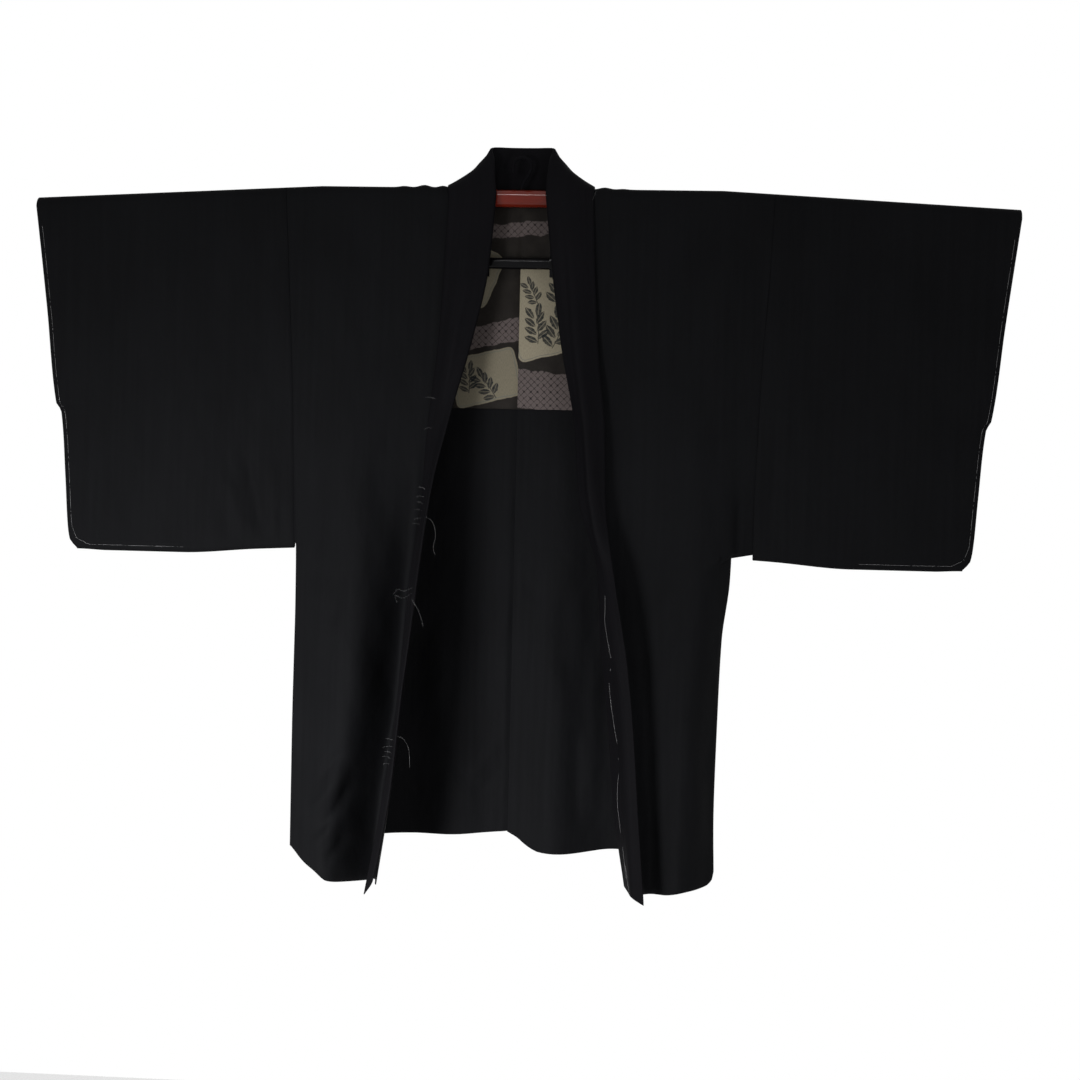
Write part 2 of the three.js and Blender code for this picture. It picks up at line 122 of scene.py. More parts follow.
def relief(across, along, marks):
    # marks: start x, start z, end x, end z, half width, height (minus for a trough), bow
    fade = 0.3  # share of a fold's length over which each end dies out
    total = np.zeros(np.broadcast(across, along).shape)
    for x0, z0, x1, z1, width, height, bow in marks:
        dx, dz = x1 - x0, z1 - z0
        length = math.hypot(dx, dz)
        t = ((across - x0) * dx + (along - z0) * dz) / length**2
        inside = np.clip(t, 0, 1)
        off = ((across - x0) * dz - (along - z0) * dx) / length - bow * 4 * inside * (1 - inside)
        ends = smooth(t, 0, fade) * smooth(1 - t, 0, fade)
        total += height * np.exp(-((off / width) ** 2)) * ends
    return total


waves = {"widths": (150, 96, 64, 43, 27, 18), "stretch": (2.2, 4.5), "lean": 0.25}
fullTurn = 2 * math.pi


def unevenness(across, along, seed, height):
    # slow waves, longer down the cloth than across it
    rng = np.random.RandomState(seed)
    total = np.zeros(np.broadcast(across, along).shape)
    widest = waves["widths"][0]
    for wide in waves["widths"]:
        tall = wide * rng.uniform(*waves["stretch"])
        phase = rng.uniform(0, fullTurn, 2)
        lean = rng.uniform(-waves["lean"], waves["lean"])
        ripple = np.sin((across + lean * along) / wide * fullTurn + phase[0])
        total += (wide / widest) * ripple * np.cos(along / tall * fullTurn + phase[1])
    return height * total


def unit(vectors):
    return vectors / np.maximum(np.linalg.norm(vectors, axis=-1, keepdims=True), 1e-9)


def gridNormals(grid):
    return unit(np.cross(np.gradient(grid, axis=1), np.gradient(grid, axis=0)))


def lengthAlong(line):
    return np.concatenate([[0], np.cumsum(np.linalg.norm(np.diff(line, axis=0), axis=-1))])


# meshes


def newMesh(name, points, faces, uv=None, material=None):
    mesh = bpy.data.meshes.new(name)
    mesh.from_pydata((np.asarray(points) * mm).tolist(), [], [list(map(int, f)) for f in faces])
    if uv is not None:
        layer = mesh.uv_layers.new(name="cloth")
        corner = np.zeros(len(mesh.loops), int)
        mesh.loops.foreach_get("vertex_index", corner)
        layer.data.foreach_set("uv", (np.asarray(uv, float)[corner] * mm).ravel())
    mesh.polygons.foreach_set("use_smooth", [True] * len(mesh.polygons))
    mesh.update()
    obj = bpy.data.objects.new(name, mesh)
    bpy.context.scene.collection.objects.link(obj)
    if material:
        mesh.materials.append(material)
    return obj


def wall(name, points, cells, uv, thickness, material):
    # closed sheet of cloth round a surface, with a narrow rim along its open edges
    rimReach = 0.45 * thickness
    cells = np.asarray(cells)
    count = len(points)
    a, b, c, d = (points[cells[:, k]] for k in range(4))
    facing = unit(np.cross(c - a, d - b))
    normals = np.zeros((count, 3))
    for k in range(4):
        np.add.at(normals, cells[:, k], facing)
    normals = unit(normals)
    edges = np.concatenate([cells[:, [k, (k + 1) % 4]] for k in range(4)])
    codes = edges[:, 0] * count + edges[:, 1]
    edges = edges[~np.isin(codes, edges[:, 1] * count + edges[:, 0])]
    outward = np.zeros((count, 3))
    push = unit(np.cross(points[edges[:, 1]] - points[edges[:, 0]], normals[edges[:, 0]]))
    np.add.at(outward, edges[:, 0], push)
    np.add.at(outward, edges[:, 1], push)
    rimOf = np.full(count, -1)
    rim = np.unique(edges)
    rimOf[rim] = np.arange(len(rim)) + 2 * count
    rimPoints = points[rim] + unit(outward[rim]) * rimReach
    half = normals * thickness / 2
    everything = np.concatenate([points + half, points - half, rimPoints])
    start, end = edges[:, 0], edges[:, 1]
    faces = [cells, cells[:, ::-1] + count,
             np.stack([end, start, rimOf[start], rimOf[end]], 1),
             np.stack([rimOf[end], rimOf[start], start + count, end + count], 1)]
    uv = np.concatenate([uv, uv, uv[rim]])
    return newMesh(name, everything, np.concatenate(faces), uv, material)


def gridCells(index, flip=False, ring=False):
    # cells of a grid of point numbers; -1 marks a missing point
    right = np.roll(index, -1, 1) if ring else index[:, 1:]
    left = index if ring else index[:, :-1]
    cells = np.stack([left[:-1], right[:-1], right[1:], left[1:]], -1).reshape(-1, 4)
    cells = cells[(cells >= 0).all(1)]
    return cells[:, ::-1] if flip else cells


def gridWall(name, grid, uv, thickness, material, flip=False, ring=False):
    # wall round a whole grid of points
    index = np.arange(grid.shape[0] * grid.shape[1]).reshape(grid.shape[:2])
    cells = gridCells(index, flip, ring)
    return wall(name, grid.reshape(-1, 3), cells, uv.reshape(-1, 2), thickness, material)


def place(obj, replaced):
    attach(obj, "root")
    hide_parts(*replaced)
    return obj


# materials


class Value:
    # a shader socket that can be used in sums
    def __init__(self, tree, socket):
        self.tree, self.socket = tree, socket

    def node(self, kind, settings=None, inputs=None, output=0):
        made = self.tree.nodes.new(kind)
        for key, setting in (settings or {}).items():
            setattr(made, key, setting)
        for key, value in (inputs or {}).items():
            if isinstance(value, Value):
                self.tree.links.new(value.socket, made.inputs[key])
            else:
                made.inputs[key].default_value = value
        return Value(self.tree, made.outputs[output])

    def math(self, operation, *others):
        inputs = dict(enumerate((self, *others)))
        return self.node("ShaderNodeMath", {"operation": operation}, inputs)

    def __add__(self, other):
        return self.math("ADD", other)

    __radd__ = __add__

    def __mul__(self, other):
        return self.math("MULTIPLY", other)

    __rmul__ = __mul__

    def __sub__(self, other):
        return self.math("SUBTRACT", other)

    def __rsub__(self, other):
        return (self * -1) + other

    def __truediv__(self, other):
        return self.math("DIVIDE", other)

    def low(self, other):
        return self.math("MINIMUM", other)

    def high(self, other):
        return self.math("MAXIMUM", other)

    def size(self):
        return self.math("ABSOLUTE")

    def sine(self):
        return self.math("SINE")

    def fraction(self):
        return self.math("FRACT")

    def root(self):
        return self.math("SQRT")

    def step(self, low, high):
        return self.node("ShaderNodeMapRange", {"interpolation_type": "SMOOTHSTEP"},
                         {0: self, 1: low, 2: high, 3: 0.0, 4: 1.0})

    def over(self, under, factor):
        # this colour over another one, by a factor
        return self.node("ShaderNodeMix", {"data_type": "RGBA"}, {0: factor, 6: under, 7: self}, 2)


class Finish:
    # one material: its nodes, its surface and its coordinates
    def __init__(self, name, plain):
        self.material = bpy.data.materials.new(name)
        self.material.use_nodes = True
        self.tree = self.material.node_tree
        self.shader = self.tree.nodes["Principled BSDF"]
        for key, value in plain.items():
            self.shader.inputs[key].default_value = value
        self.start = Value(self.tree, None)

    def parts(self, point):
        split = point.node("ShaderNodeSeparateXYZ", {}, {0: point}).socket.node
        return [Value(self.tree, output) for output in split.outputs]

    def uv(self):
        point = self.start.node("ShaderNodeUVMap", {"uv_map": "cloth"})
        return point, *self.parts(point)[:2]

    def object(self):
        point = self.start.node("ShaderNodeTexCoord", {}, {}, 3)
        return point, *self.parts(point)

    def colour(self, rgb):
        made = self.start.node("ShaderNodeRGB")
        made.socket.default_value = (*rgb, 1)
        return made

    def join(self, x, y, z=0.0):
        return self.start.node("ShaderNodeCombineXYZ", {}, {0: x, 1: y, 2: z})

    def noise(self, vector, scale, detail=2.0, rough=0.5):
        inputs = {"Vector": vector, "Scale": scale, "Detail": detail, "Roughness": rough}
        return self.start.node("ShaderNodeTexNoise", {}, inputs)

    def shades(self, dark, light, factor):
        return self.colour(light).over(self.colour(dark), factor)

    def bump(self, height, distance, strength=1.0):
        inputs = {"Height": height, "Distance": distance, "Strength": strength}
        normal = self.start.node("ShaderNodeBump", {}, inputs)
        self.tree.links.new(normal.socket, self.shader.inputs["Normal"])

    def set(self, key, value):
        self.tree.links.new(value.socket, self.shader.inputs[key])


silkLook = {
    "body": {"dark": (0.0021, 0.00215, 0.0025), "light": (0.0031, 0.0032, 0.0037)},
    # the collar's copy of the same black silk is a little darker and more purple: painted shade, for the
    # different light on the collar strip
    "collar": {"dark": (0.0019, 0.0018, 0.00225), "light": (0.0028, 0.00265, 0.0033)},
    "roughness": 0.7, "roughnessSpread": 0.1, "specular": 0.03,
    # per metre: threads, grain, puckers, clouds in the tone, and streaks across and along the cloth
    "threads": 900, "crepe": 420, "puckers": 42, "cloud": 7, "streaks": (160, 4), "cloudShare": 0.6,
    "weaveShare": 0.3, "puckerShare": 15, "relief": 0.00012, "strength": 0.6,
}


def silk(name, shades):
    kinds = silkLook
    look = Finish(name, {"Specular IOR Level": kinds["specular"]})
    point, x, y = look.uv()
    cloud = look.noise(point, kinds["cloud"], 3.0)
    streak = look.noise(look.join(x * kinds["streaks"][0], y * kinds["streaks"][1]), 1.0, 2.0)
    tone = (cloud * kinds["cloudShare"] + streak * (1 - kinds["cloudShare"])).step(0.25, 0.75)
    look.set("Base Color", look.shades(shades["dark"], shades["light"], tone))
    look.set("Roughness", kinds["roughness"] + cloud * kinds["roughnessSpread"])
    threads = kinds["threads"] * fullTurn
    weave = (x * threads).sine() * (y * threads).sine()
    crepe = look.noise(look.join(x * 1.6, y), kinds["crepe"], 2.0)
    puckers = look.noise(look.join(x, y * 0.6), kinds["puckers"], 3.0, 0.55)
    height = weave * kinds["weaveShare"] + crepe + puckers * kinds["puckerShare"]
    look.bump(height, kinds["relief"], kinds["strength"])
    return look.material


bodySilk = silk("bodySilk", silkLook["body"])
# a shaded copy of the body silk: its darker, more purple tone is painted shade
collarSilkPaintedShade = silk("collarSilkPaintedShade", silkLook["collar"])

liningLook = {
    "ground": (0.0050, 0.0041, 0.0035), "groundLight": (0.0095, 0.0080, 0.0067),
    "mauve": (0.054, 0.044, 0.042), "mauveDark": (0.009, 0.0065, 0.0072),
    "cream": (0.150, 0.133, 0.096), "creamShade": 0.78,
    "ink": (0.0045, 0.006, 0.0075), "inkPale": (0.055, 0.062, 0.058),
    # bands: height of the middle, half width, slope, side they stay on (0 both, 1 left, -1 right)
    "bands": [(-92, 10, 0.08, 0), (-306, 27, -0.10, 1), (-226, 16, 0.22, -1)],
    # cards: centre x, z, half width, half height, lean in degrees, corner, painted shading (below 1 on the
    # left half: the shadow the left front casts there, painted into the cream)
    "cards": [(44, -196, 60, 64, 14, 12, 1.0), (-74, -150, 44, 40, -22, 14, 0.72),
              (-44, -292, 46, 34, 14, 8, 0.66)],
    # sprigs: foot x, z, lean in degrees, size
    "sprigs": [(26, -244, 8, 1.15), (46, -250, -16, 1.3), (24, -190, 30, 0.8), (50, -190, -12, 1.2),
               (62, -150, -40, 0.8), (-62, -176, 24, 1.0), (-30, -318, 42, 1.0), (-66, -312, 6, 0.9)],
    # leaves of a sprig: height up the stem, side, lean in degrees
    "leaves": [(5, -1, 150), (9, 1, 30), (15, -1, 142), (19, 1, 40), (25, -1, 134), (29, 1, 50),
               (36, -1, 120), (39, 1, 76)],
    "leafLength": 9, "leafWidth": 0.44, "leafOut": 7.8, "leafNarrows": 0.06,
    "stemHeight": 38, "stemHalf": 0.9,
    # unevenness of edges in millimetres, mesh of the lattice, and the share of it that always shows
    "cardWobble": 5, "bandWobble": 12, "mesh": 9.0, "latticeFaint": 0.35,
    "roughness": 0.6, "specular": 0.06, "threads": 1200, "relief": 0.00008, "strength": 0.3,
}


def turnedBy(degrees):
    return math.cos(math.radians(degrees)), math.sin(math.radians(degrees))


def liningSilk():
    kinds = liningLook
    look = Finish("liningSilk", {"Specular IOR Level": kinds["specular"], "Roughness": kinds["roughness"]})
    u, w = look.uv()[1:]
    x, z = u * 1000, w * 1000  # millimetres from the centre and from the top
    wobble = look.noise(look.join(x * 0.05, z * 0.05), 1.0, 3.0)
    fine = look.noise(look.join(x * 0.25, z * 0.25), 1.0, 2.0)
    weave = look.noise(look.join(x * 1.3, z * 0.3), 1.0, 2.0)

    def leaning(cx, cz, degrees):
        c, s = turnedBy(degrees)
        dx, dz = x - cx, z - cz
        return dx * c + dz * s, dz * c - dx * s

    def away(a, b):
        return (a * a + b * b).root()

    def card(cx, cz, wide, tall, degrees, corner):
        a, b = leaning(cx, cz, degrees)
        outA = (a.size() - (wide - corner)).high(0.0)
        outB = (b.size() - (tall - corner)).high(0.0)
        return corner - away(outA, outB) + (wobble - 0.5) * kinds["cardWobble"]

    def leaf(cx, cz, degrees, length):
        # pointed at both ends, with a pale vein
        a, b = leaning(cx, cz, degrees)
        along, off = a / length, (b / (length * kinds["leafWidth"])).size()
        shape = 1 - along * along - off + (fine - 0.5) * 0.5
        vein = (b / length).size().step(0.02, 0.07)
        return shape.step(0, 0.15) * (0.35 + 0.65 * vein)

    def sprig(cx, cz, degrees, size):
        a, b = leaning(cx, cz, degrees)
        bend = (b * 0.06).sine() * 3 * size
        stem = (kinds["stemHalf"] - (a - bend).size()).low(b + 2).low(kinds["stemHeight"] * size - b)
        marks = stem.step(0, 0.7)
        c, s = turnedBy(degrees)
        for height, side, lean in kinds["leaves"]:
            out, up = side * (kinds["leafOut"] - height * kinds["leafNarrows"]) * size, height * size
            spot = (cx + out * c - up * s, cz + out * s + up * c)
            marks = marks.high(leaf(*spot, degrees + lean, kinds["leafLength"] * size))
        return marks

    def latticeColour():
        # crossed lines with a dot in each mesh
        mesh = kinds["mesh"]
        p, q = (x + z) / mesh, (x - z) / mesh
        lines = 1 - (p.fraction() - 0.5).size().low((q.fraction() - 0.5).size()).step(0.03, 0.09)
        dots = 1 - away((x / mesh + 0.5).fraction() - 0.5, (z / mesh).fraction() - 0.5).step(0.13, 0.2)
        faint = kinds["latticeFaint"]
        busy = lines.high(dots) * (faint + fine.step(0.35, 0.6) * (1 - faint))
        return look.shades(kinds["mauve"], kinds["mauveDark"], busy)

    base = look.shades(kinds["ground"], kinds["groundLight"], (wobble * 0.6 + weave * 0.4).step(0.3, 0.7))
    lattice = latticeColour()
    for middle, half, slope, side in kinds["bands"]:
        edge = half - (z - middle - x * slope).size() + (wobble - 0.5) * kinds["bandWobble"]
        mask = edge.step(0, 1.2)
        if side:
            mask = mask * (x * side).step(-0.5, 0.5)
        base = lattice.over(base, mask)
    for *outline, paintedShading in kinds["cards"]:
        inside = card(*outline)
        ownHalf = (x * (1 if outline[0] > 0 else -1)).step(-0.3, 0.3)
        # the cream is darkened by the card's painted shading, a painted shadow of the left front
        pale = tuple(v * paintedShading for v in kinds["cream"])
        deep = tuple(v * kinds["creamShade"] for v in pale)
        rim = inside.step(2.2, 2.8) * (1 - inside.step(3.4, 4.0))
        cream = look.colour(kinds["inkPale"]).over(look.shades(pale, deep, weave.step(0.3, 0.8)), rim * 0.5)
        base = cream.over(base, inside.step(0, 0.8) * ownHalf)
    for spot in kinds["sprigs"]:
        base = look.colour(kinds["ink"]).over(base, sprig(*spot) * (0.55 + fine * 0.6).low(1.0))
    look.set("Base Color", base)
    threads = kinds["threads"] * fullTurn
    look.bump((u * threads).sine() * (w * threads).sine(), kinds["relief"], kinds["strength"])
    return look.material


lacquerLook = {
    "light": (0.100, 0.0088, 0.0034), "dark": (0.072, 0.0062, 0.0025), "specular": 0.24, "roughness": 0.10,
    "roughnessSpread": 0.05, "relief": 0.00001, "strength": 0.2,
}


def lacquer():
    kinds = lacquerLook
    look = Finish("redLacquer", {"Specular IOR Level": kinds["specular"]})
    point, x, y, z = look.object()
    grain = look.noise(look.join(x * 6, y * 60, z * 60), 1.0, 3.0)
    cloud = look.noise(point, 14.0, 2.0)
    tone = (grain * 0.5 + cloud * 0.5).step(0.3, 0.7)
    look.set("Base Color", look.shades(kinds["dark"], kinds["light"], tone))
    look.set("Roughness", kinds["roughness"] + grain * kinds["roughnessSpread"])
    fineGrain = look.noise(look.join(x * 40, y * 300, z * 300), 1.0, 2.0)
    look.bump(fineGrain, kinds["relief"], kinds["strength"])
    return look.material


plasticLook = {
    "blackGloss": {"colour": (0.0018, 0.0018, 0.0022), "roughness": 0.08, "specular": 0.09},
    "blackMatt": {"colour": (0.0025, 0.0024, 0.0030), "roughness": 0.8, "specular": 0.03},
    "spread": 0.15, "roughnessSpread": 0.1, "relief": 0.000008, "strength": 0.2,
}


def plastic(name):
    kinds = plasticLook
    own = kinds[name]
    look = Finish(name, {"Specular IOR Level": own["specular"]})
    point = look.object()[0]
    haze = look.noise(point, 60.0, 3.0)
    dark, light = (tuple(v * (1 + way * kinds["spread"]) for v in own["colour"]) for way in (-1, 1))
    look.set("Base Color", look.shades(dark, light, haze))
    look.set("Roughness", own["roughness"] + haze * kinds["roughnessSpread"])
    look.bump(look.noise(point, 500.0, 1.0), kinds["relief"], kinds["strength"])
    return look.material


threadLook = {
    "light": (0.20, 0.20, 0.20), "dark": (0.11, 0.11, 0.115), "roughness": 0.8, "specular": 0.2,
    "twist": 9000, "relief": 0.00005, "strength": 0.4,
}


def thread():
    kinds = threadLook
    look = Finish("whiteThread", {"Roughness": kinds["roughness"], "Specular IOR Level": kinds["specular"]})
    x, y, z = look.object()[1:]
    twist = ((x + z * 1.3 + y) * kinds["twist"]).sine()
    look.set("Base Color", look.shades(kinds["dark"], kinds["light"], twist.step(-1, 1)))
    look.bump(twist, kinds["relief"], kinds["strength"])
    return look.material


liningFinish = liningSilk()
lacquerFinish = lacquer()
barFinish = plastic("blackGloss")
hookFinish = plastic("blackMatt")
threadFinish = thread()
print("stage: materials")

# sizes shared by the pieces

sideSign = {"left": 1, "right": -1}
tubeLow, tubeHigh = (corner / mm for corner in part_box("hanger_tube"))
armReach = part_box("hanger_arm_left")[1].x / mm
rod = {
    "height": (tubeLow.z + tubeHigh.z) / 2, "radius": (tubeHigh.z - tubeLow.z) / 2, "tubeHalf": tubeHigh.x,
    "armRadius": 10.8, "droop": 0.052, "reach": armReach, "gap": 0.9,
}
clothRadius = 13.2  # middle of the cloth where it bends over the rod
neckHalf = 92
armpit = -526
lowest = -940  # height that the lengthwise shares run down to
armpitShare = 0.536  # share of that length where the sleeve ends
rodFade = (4, 70)  # drop below the rod over which folds and unevenness come in
seamGap = 0.3
seamInset = 0.12
overRod = np.radians(np.linspace(168, 40, 14))

armholeSeam = {
    "left": {"z": [-40, -150, -225, -360, -450, -540], "x": [338, 334, 329, 324, 321, 321]},
    "right": {"z": [-40, -150, -225, -360, -450, -540], "x": [317, 311, 307, 301, 298, 296]},
}
sideSeam = {
    "left": {"z": [-500, -560, -640, -730, -850, -940], "x": [293, 291, 282, 279, 277, 279],
             "front": [-4, -7, -9, -11, -12, -12], "back": [4, 9, 15, 20, 26, 29]},
    "right": {"z": [-500, -560, -640, -730, -850, -940], "x": [294, 292, 291, 291, 290, 289],
              "front": [-4, -7, -9, -11, -13, -15], "back": [4, 9, 15, 20, 25, 28]},
}
sleeveDepth = {"share": [0, 0.15, 0.45, 0.8, 1], "half": [13.2, 10.5, 7.2, 5, 3.2]}


def rodHeight(x):
    return rod["height"] - np.maximum(np.abs(x) - rod["tubeHalf"], 0) * rod["droop"]


# body halves: front, over the rod and down the back in one length

frontFold = {
    "left": {
        "z": [-40, -150, -250, -350, -450, -540, -640, -720, -840, -940],
        "crestX": [262, 260, 258, 256, 254, 250, 242, 238, 236, 236],
        "crestY": [-13.2, -14, -16, -20, -28, -38, -50, -56, -60, -60],
        "valleyX": [170, 165, 155, 148, 150, 160, 174, 183, 191, 196],
        "valleyY": [-13.2, -14, -15, -16, -17, -24, -38, -46, -50, -50],
        "seamX": [92, 97, 104, 115, 120, 131, 150, 161, 171, 178],
        "seamY": [-13.2, -15, -17, -22, -30, -54, -80, -86, -88, -86],
    },
    "right": {
        "z": [-40, -150, -250, -350, -450, -540, -640, -720, -840, -940],
        "crestX": [246, 244, 238, 228, 212, 200, 202, 208, 227, 234],
        "crestY": [-13.2, -14, -16, -20, -28, -42, -56, -58, -58, -56],
        "valleyX": [150, 146, 140, 134, 132, 139, 146, 153, 169, 180],
        "valleyY": [-13.2, -14, -15, -15, -12, -8, -5, -4, -4, -4],
        "seamX": [92, 95, 102, 111, 116, 122, 128, 134, 148, 162],
        "seamY": [-13.2, -15, -18, -24, -36, -54, -70, -74, -76, -76],
    },
}
frontHem = {
    "left": {"x": [178, 194, 212, 238, 268, 277, 280],
             "z": [-966, -969, -969.4, -965.2, -960.7, -953.6, -936.4],
             "seam": -966, "fold": -959, "ridge": -968, "free": -976},
    "right": {"x": [162, 186, 210, 231, 247, 265, 288],
              "z": [-966, -972.9, -970.9, -967.5, -957, -946.5, -928.9],
              "seam": -966, "fold": -929.5, "ridge": -958, "free": -978},
}
backHem = {
    "left": {"x": [0, 12, 28, 45, 75, 151, 290], "z": [-907, -913, -925, -932, -933.5, -926, -936]},
    "right": {"x": [0, 90, 167, 290], "z": [-906, -913, -915, -929]},
}
backDrop = {
    "z": [-53, -140, -340, -530, -730, -940], "y": [13.2, 16, 20, 24, 28, 30],
    "fold": [0, 0, 1.5, 4, 8, 10], "flatTo": 120,
}
backFolds = {
    "left": {"x": [62, 138, 215], "width": [30, 32, 38], "depth": [-1.5, 0.8, -0.8]},
    "right": {"x": [66, 132, 205], "width": [30, 30, 40], "depth": [-0.7, 0.7, -0.7]},
}
body = {
    "rows": 150, "columns": 60, "neckColumns": 16, "thickness": 1.2, "neckAngle": math.radians(24),
    "centreGroove": 1.6, "grooveHalf": 3.5, "frontFade": (0.05, 0.06), "backFade": (12, 9), "uneven": 1.0,
    # marks: start x, start z, end x, end z, half width, height, bow
    "front": {
        "right": [
            (198, -832, 254, -912, 8, -4.6, 5), (206, -812, 266, -886, 8, 3.4, 5),
            (208, -790, 250, -846, 7, -3.2, -4), (204, -902, 244, -950, 7, -3.6, 4),
            (216, -884, 262, -938, 8, 2.4, 0), (262, -560, 252, -690, 22, 2.6, 0),
            (226, -548, 236, -640, 9, -2.2, 3), (272, -700, 262, -860, 14, -1.6, 0),
            (180, -300, 190, -620, 16, -1.2, 6), (290, -60, 280, -420, 18, 0.9, 4),
            (150, -90, 140, -330, 16, 0.8, 0), (232, -130, 226, -380, 22, -0.9, 0),
        ],
        "left": [
            (301, -430, 300, -540, 6, -2.2, 0), (290, -440, 289, -545, 9, 1.4, 0),
            (206, -80, 232, -470, 17, -1.6, 6), (262, -150, 268, -470, 22, 1.0, 0),
            (236, -560, 226, -900, 18, -1.2, 4), (250, -800, 262, -930, 12, 1.4, 0),
            (140, -100, 146, -300, 14, 0.9, 0),
        ],
    },
    "back": {
        "right": [
            (44, -420, 52, -880, 14, 1.6, 4), (106, -620, 98, -810, 20, -4.2, 4),
            (176, -500, 190, -900, 18, 1.2, 0), (240, -300, 236, -800, 20, -1.3, 0),
            (78, -640, 70, -900, 10, 2.2, 0), (16, -782, 62, -846, 6, -1.9, 3),
            (12, -822, 50, -868, 5, 1.6, 0), (96, -812, 30, -850, 9, 1.8, -3),
            (64, -430, 60, -600, 12, -1.2, 2),
        ],
        "left": [
            (34, -560, 30, -925, 10, -2.4, 0), (70, -560, 78, -720, 9, 3.0, 4),
            (58, -660, 66, -800, 16, -3.0, 0), (86, -740, 92, -900, 9, 2.4, -3),
            (118, -620, 112, -925, 12, -2.2, 3), (14, -560, 40, -600, 7, 1.2, 0),
            (20, -800, 56, -930, 8, 1.6, 0), (190, -420, 196, -900, 20, 1.2, 0),
            (245, -280, 240, -820, 22, -1.3, 0),
        ],
    },
    # bumps where the cloth stands off the rod: distance from the centre, half width, height
    "bumps": {"right": [(131, 9, 3.2), (106, 7, 2.4), (158, 8, 1.6)],
              "left": [(112, 9, 2.6), (136, 8, 1.0)]},
}


def sideEdge(side, z, share, layer):
    above = share <= armpitShare
    armhole, below = armholeSeam[side], sideSeam[side]
    x = np.where(above, read(armhole["z"], armhole["x"], z), read(below["z"], below["x"], z)) - seamInset
    depth = read(sleeveDepth["share"], sleeveDepth["half"], (rod["height"] - z) / (rod["height"] - armpit))
    y = np.where(above, -depth if layer == "front" else depth, read(below["z"], below[layer], z))
    return x, y


def settle(points, drop, edge, marks, seed):
    # folds and unevenness along the surface's own normal, faded out at the rod and the seams
    normals = gridNormals(points)
    if normals[..., 1].mean() * points[..., 1].mean() < 0:
        normals = -normals
    x, z = points[..., 0], points[..., 2]
    amount = relief(x, z, marks) + unevenness(x, z, seed, body["uneven"])
    return points + normals * (amount * smooth(drop, *rodFade) * edge)[..., None]


def frontPanel(side):
    share = np.linspace(1, 0, body["rows"])
    t = np.linspace(0, 1, body["columns"])
    folds, hem = frontFold[side], frontHem[side]
    z = mix(rod["height"], lowest, share)
    sideX, sideY = sideEdge(side, z, share, "front")

    def control(name, shift=0.0):
        x, y = (read(folds["z"], folds[name + axis], z) for axis in "XY")
        return np.stack([x + shift, y], -1)

    edgeLine = np.stack([sideX, sideY], -1)
    controls = np.stack([edgeLine, control("crest"), control("valley"), control("seam", seamGap / 2)])
    flat = throughPoints(controls, np.broadcast_to(t, (len(share), len(t))))
    points = np.empty((*flat.shape[:2], 3))
    points[..., :2] = flat
    points[..., 2] = mix(rodHeight(flat[..., 0]), read(hem["x"], hem["z"], flat[..., 0]), share[:, None])
    drop = rodHeight(points[..., 0]) - points[..., 2]
    outerFade, seamFade = body["frontFade"]
    edge = smooth(t, 0, outerFade) * smooth(1 - t, 0, seamFade)
    return settle(points, drop, edge[None, :], body["front"][side], 11 + len(side))


def backPlace(side, x, share):
    z = mix(rod["height"], lowest, share)
    sideX, sideY = sideEdge(side, z, share, "back")
    middleY = read(backDrop["z"], backDrop["y"], z)
    blend = smooth((x - backDrop["flatTo"]) / (sideX - backDrop["flatTo"]))
    folds = backFolds[side]
    wave = sum(depth * np.exp(-(((x - at) / width) ** 2))
               for at, width, depth in zip(folds["x"], folds["width"], folds["depth"]))
    y = mix(middleY, sideY, blend) + wave * read(backDrop["z"], backDrop["fold"], z) * (1 - blend**4)
    down = mix(rodHeight(x), read(backHem[side]["x"], backHem[side]["z"], x), share)
    return np.stack(np.broadcast_arrays(x, y, down), -1)


def backPanel(side):
    share = np.linspace(0, 1, body["rows"])[:, None]
    t = np.linspace(0, 1, body["columns"])[None, :]
    sideX = sideEdge(side, mix(rod["height"], lowest, share), share, "back")[0]
    outer = mix(sideX, neckHalf, t)
    towardsCentre = 1 - (1 - np.linspace(0, 1, body["neckColumns"] + 1)[None, 1:]) ** 1.7
    inner = mix(neckHalf, seamGap / 2, towardsCentre) + 0 * share
    x = np.concatenate([outer, inner], 1)
    points = backPlace(side, x, share)
    groove = body["centreGroove"] * np.exp(-((x / body["grooveHalf"]) ** 2))
    points[..., 1] += groove * smooth(share, 0, 0.05)
    drop = rodHeight(x) - points[..., 2]
    sideFade, centreFade = body["backFade"]
    edge = smooth(sideX - x, 0, sideFade) * smooth(x, 0, centreFade)
    return settle(points, drop, edge, body["back"][side], 23 + len(side))


def overShoulder(side, x, angles):
    lift = sum(height * np.exp(-(((x - at) / width) ** 2)) for at, width, height in body["bumps"][side])
    level, upright = np.cos(angles)[:, None], np.sin(angles)[:, None]
    radius = clothRadius + lift * upright**2
    return np.stack([np.broadcast_to(x, radius.shape), radius * level, rodHeight(x) + radius * upright], -1)


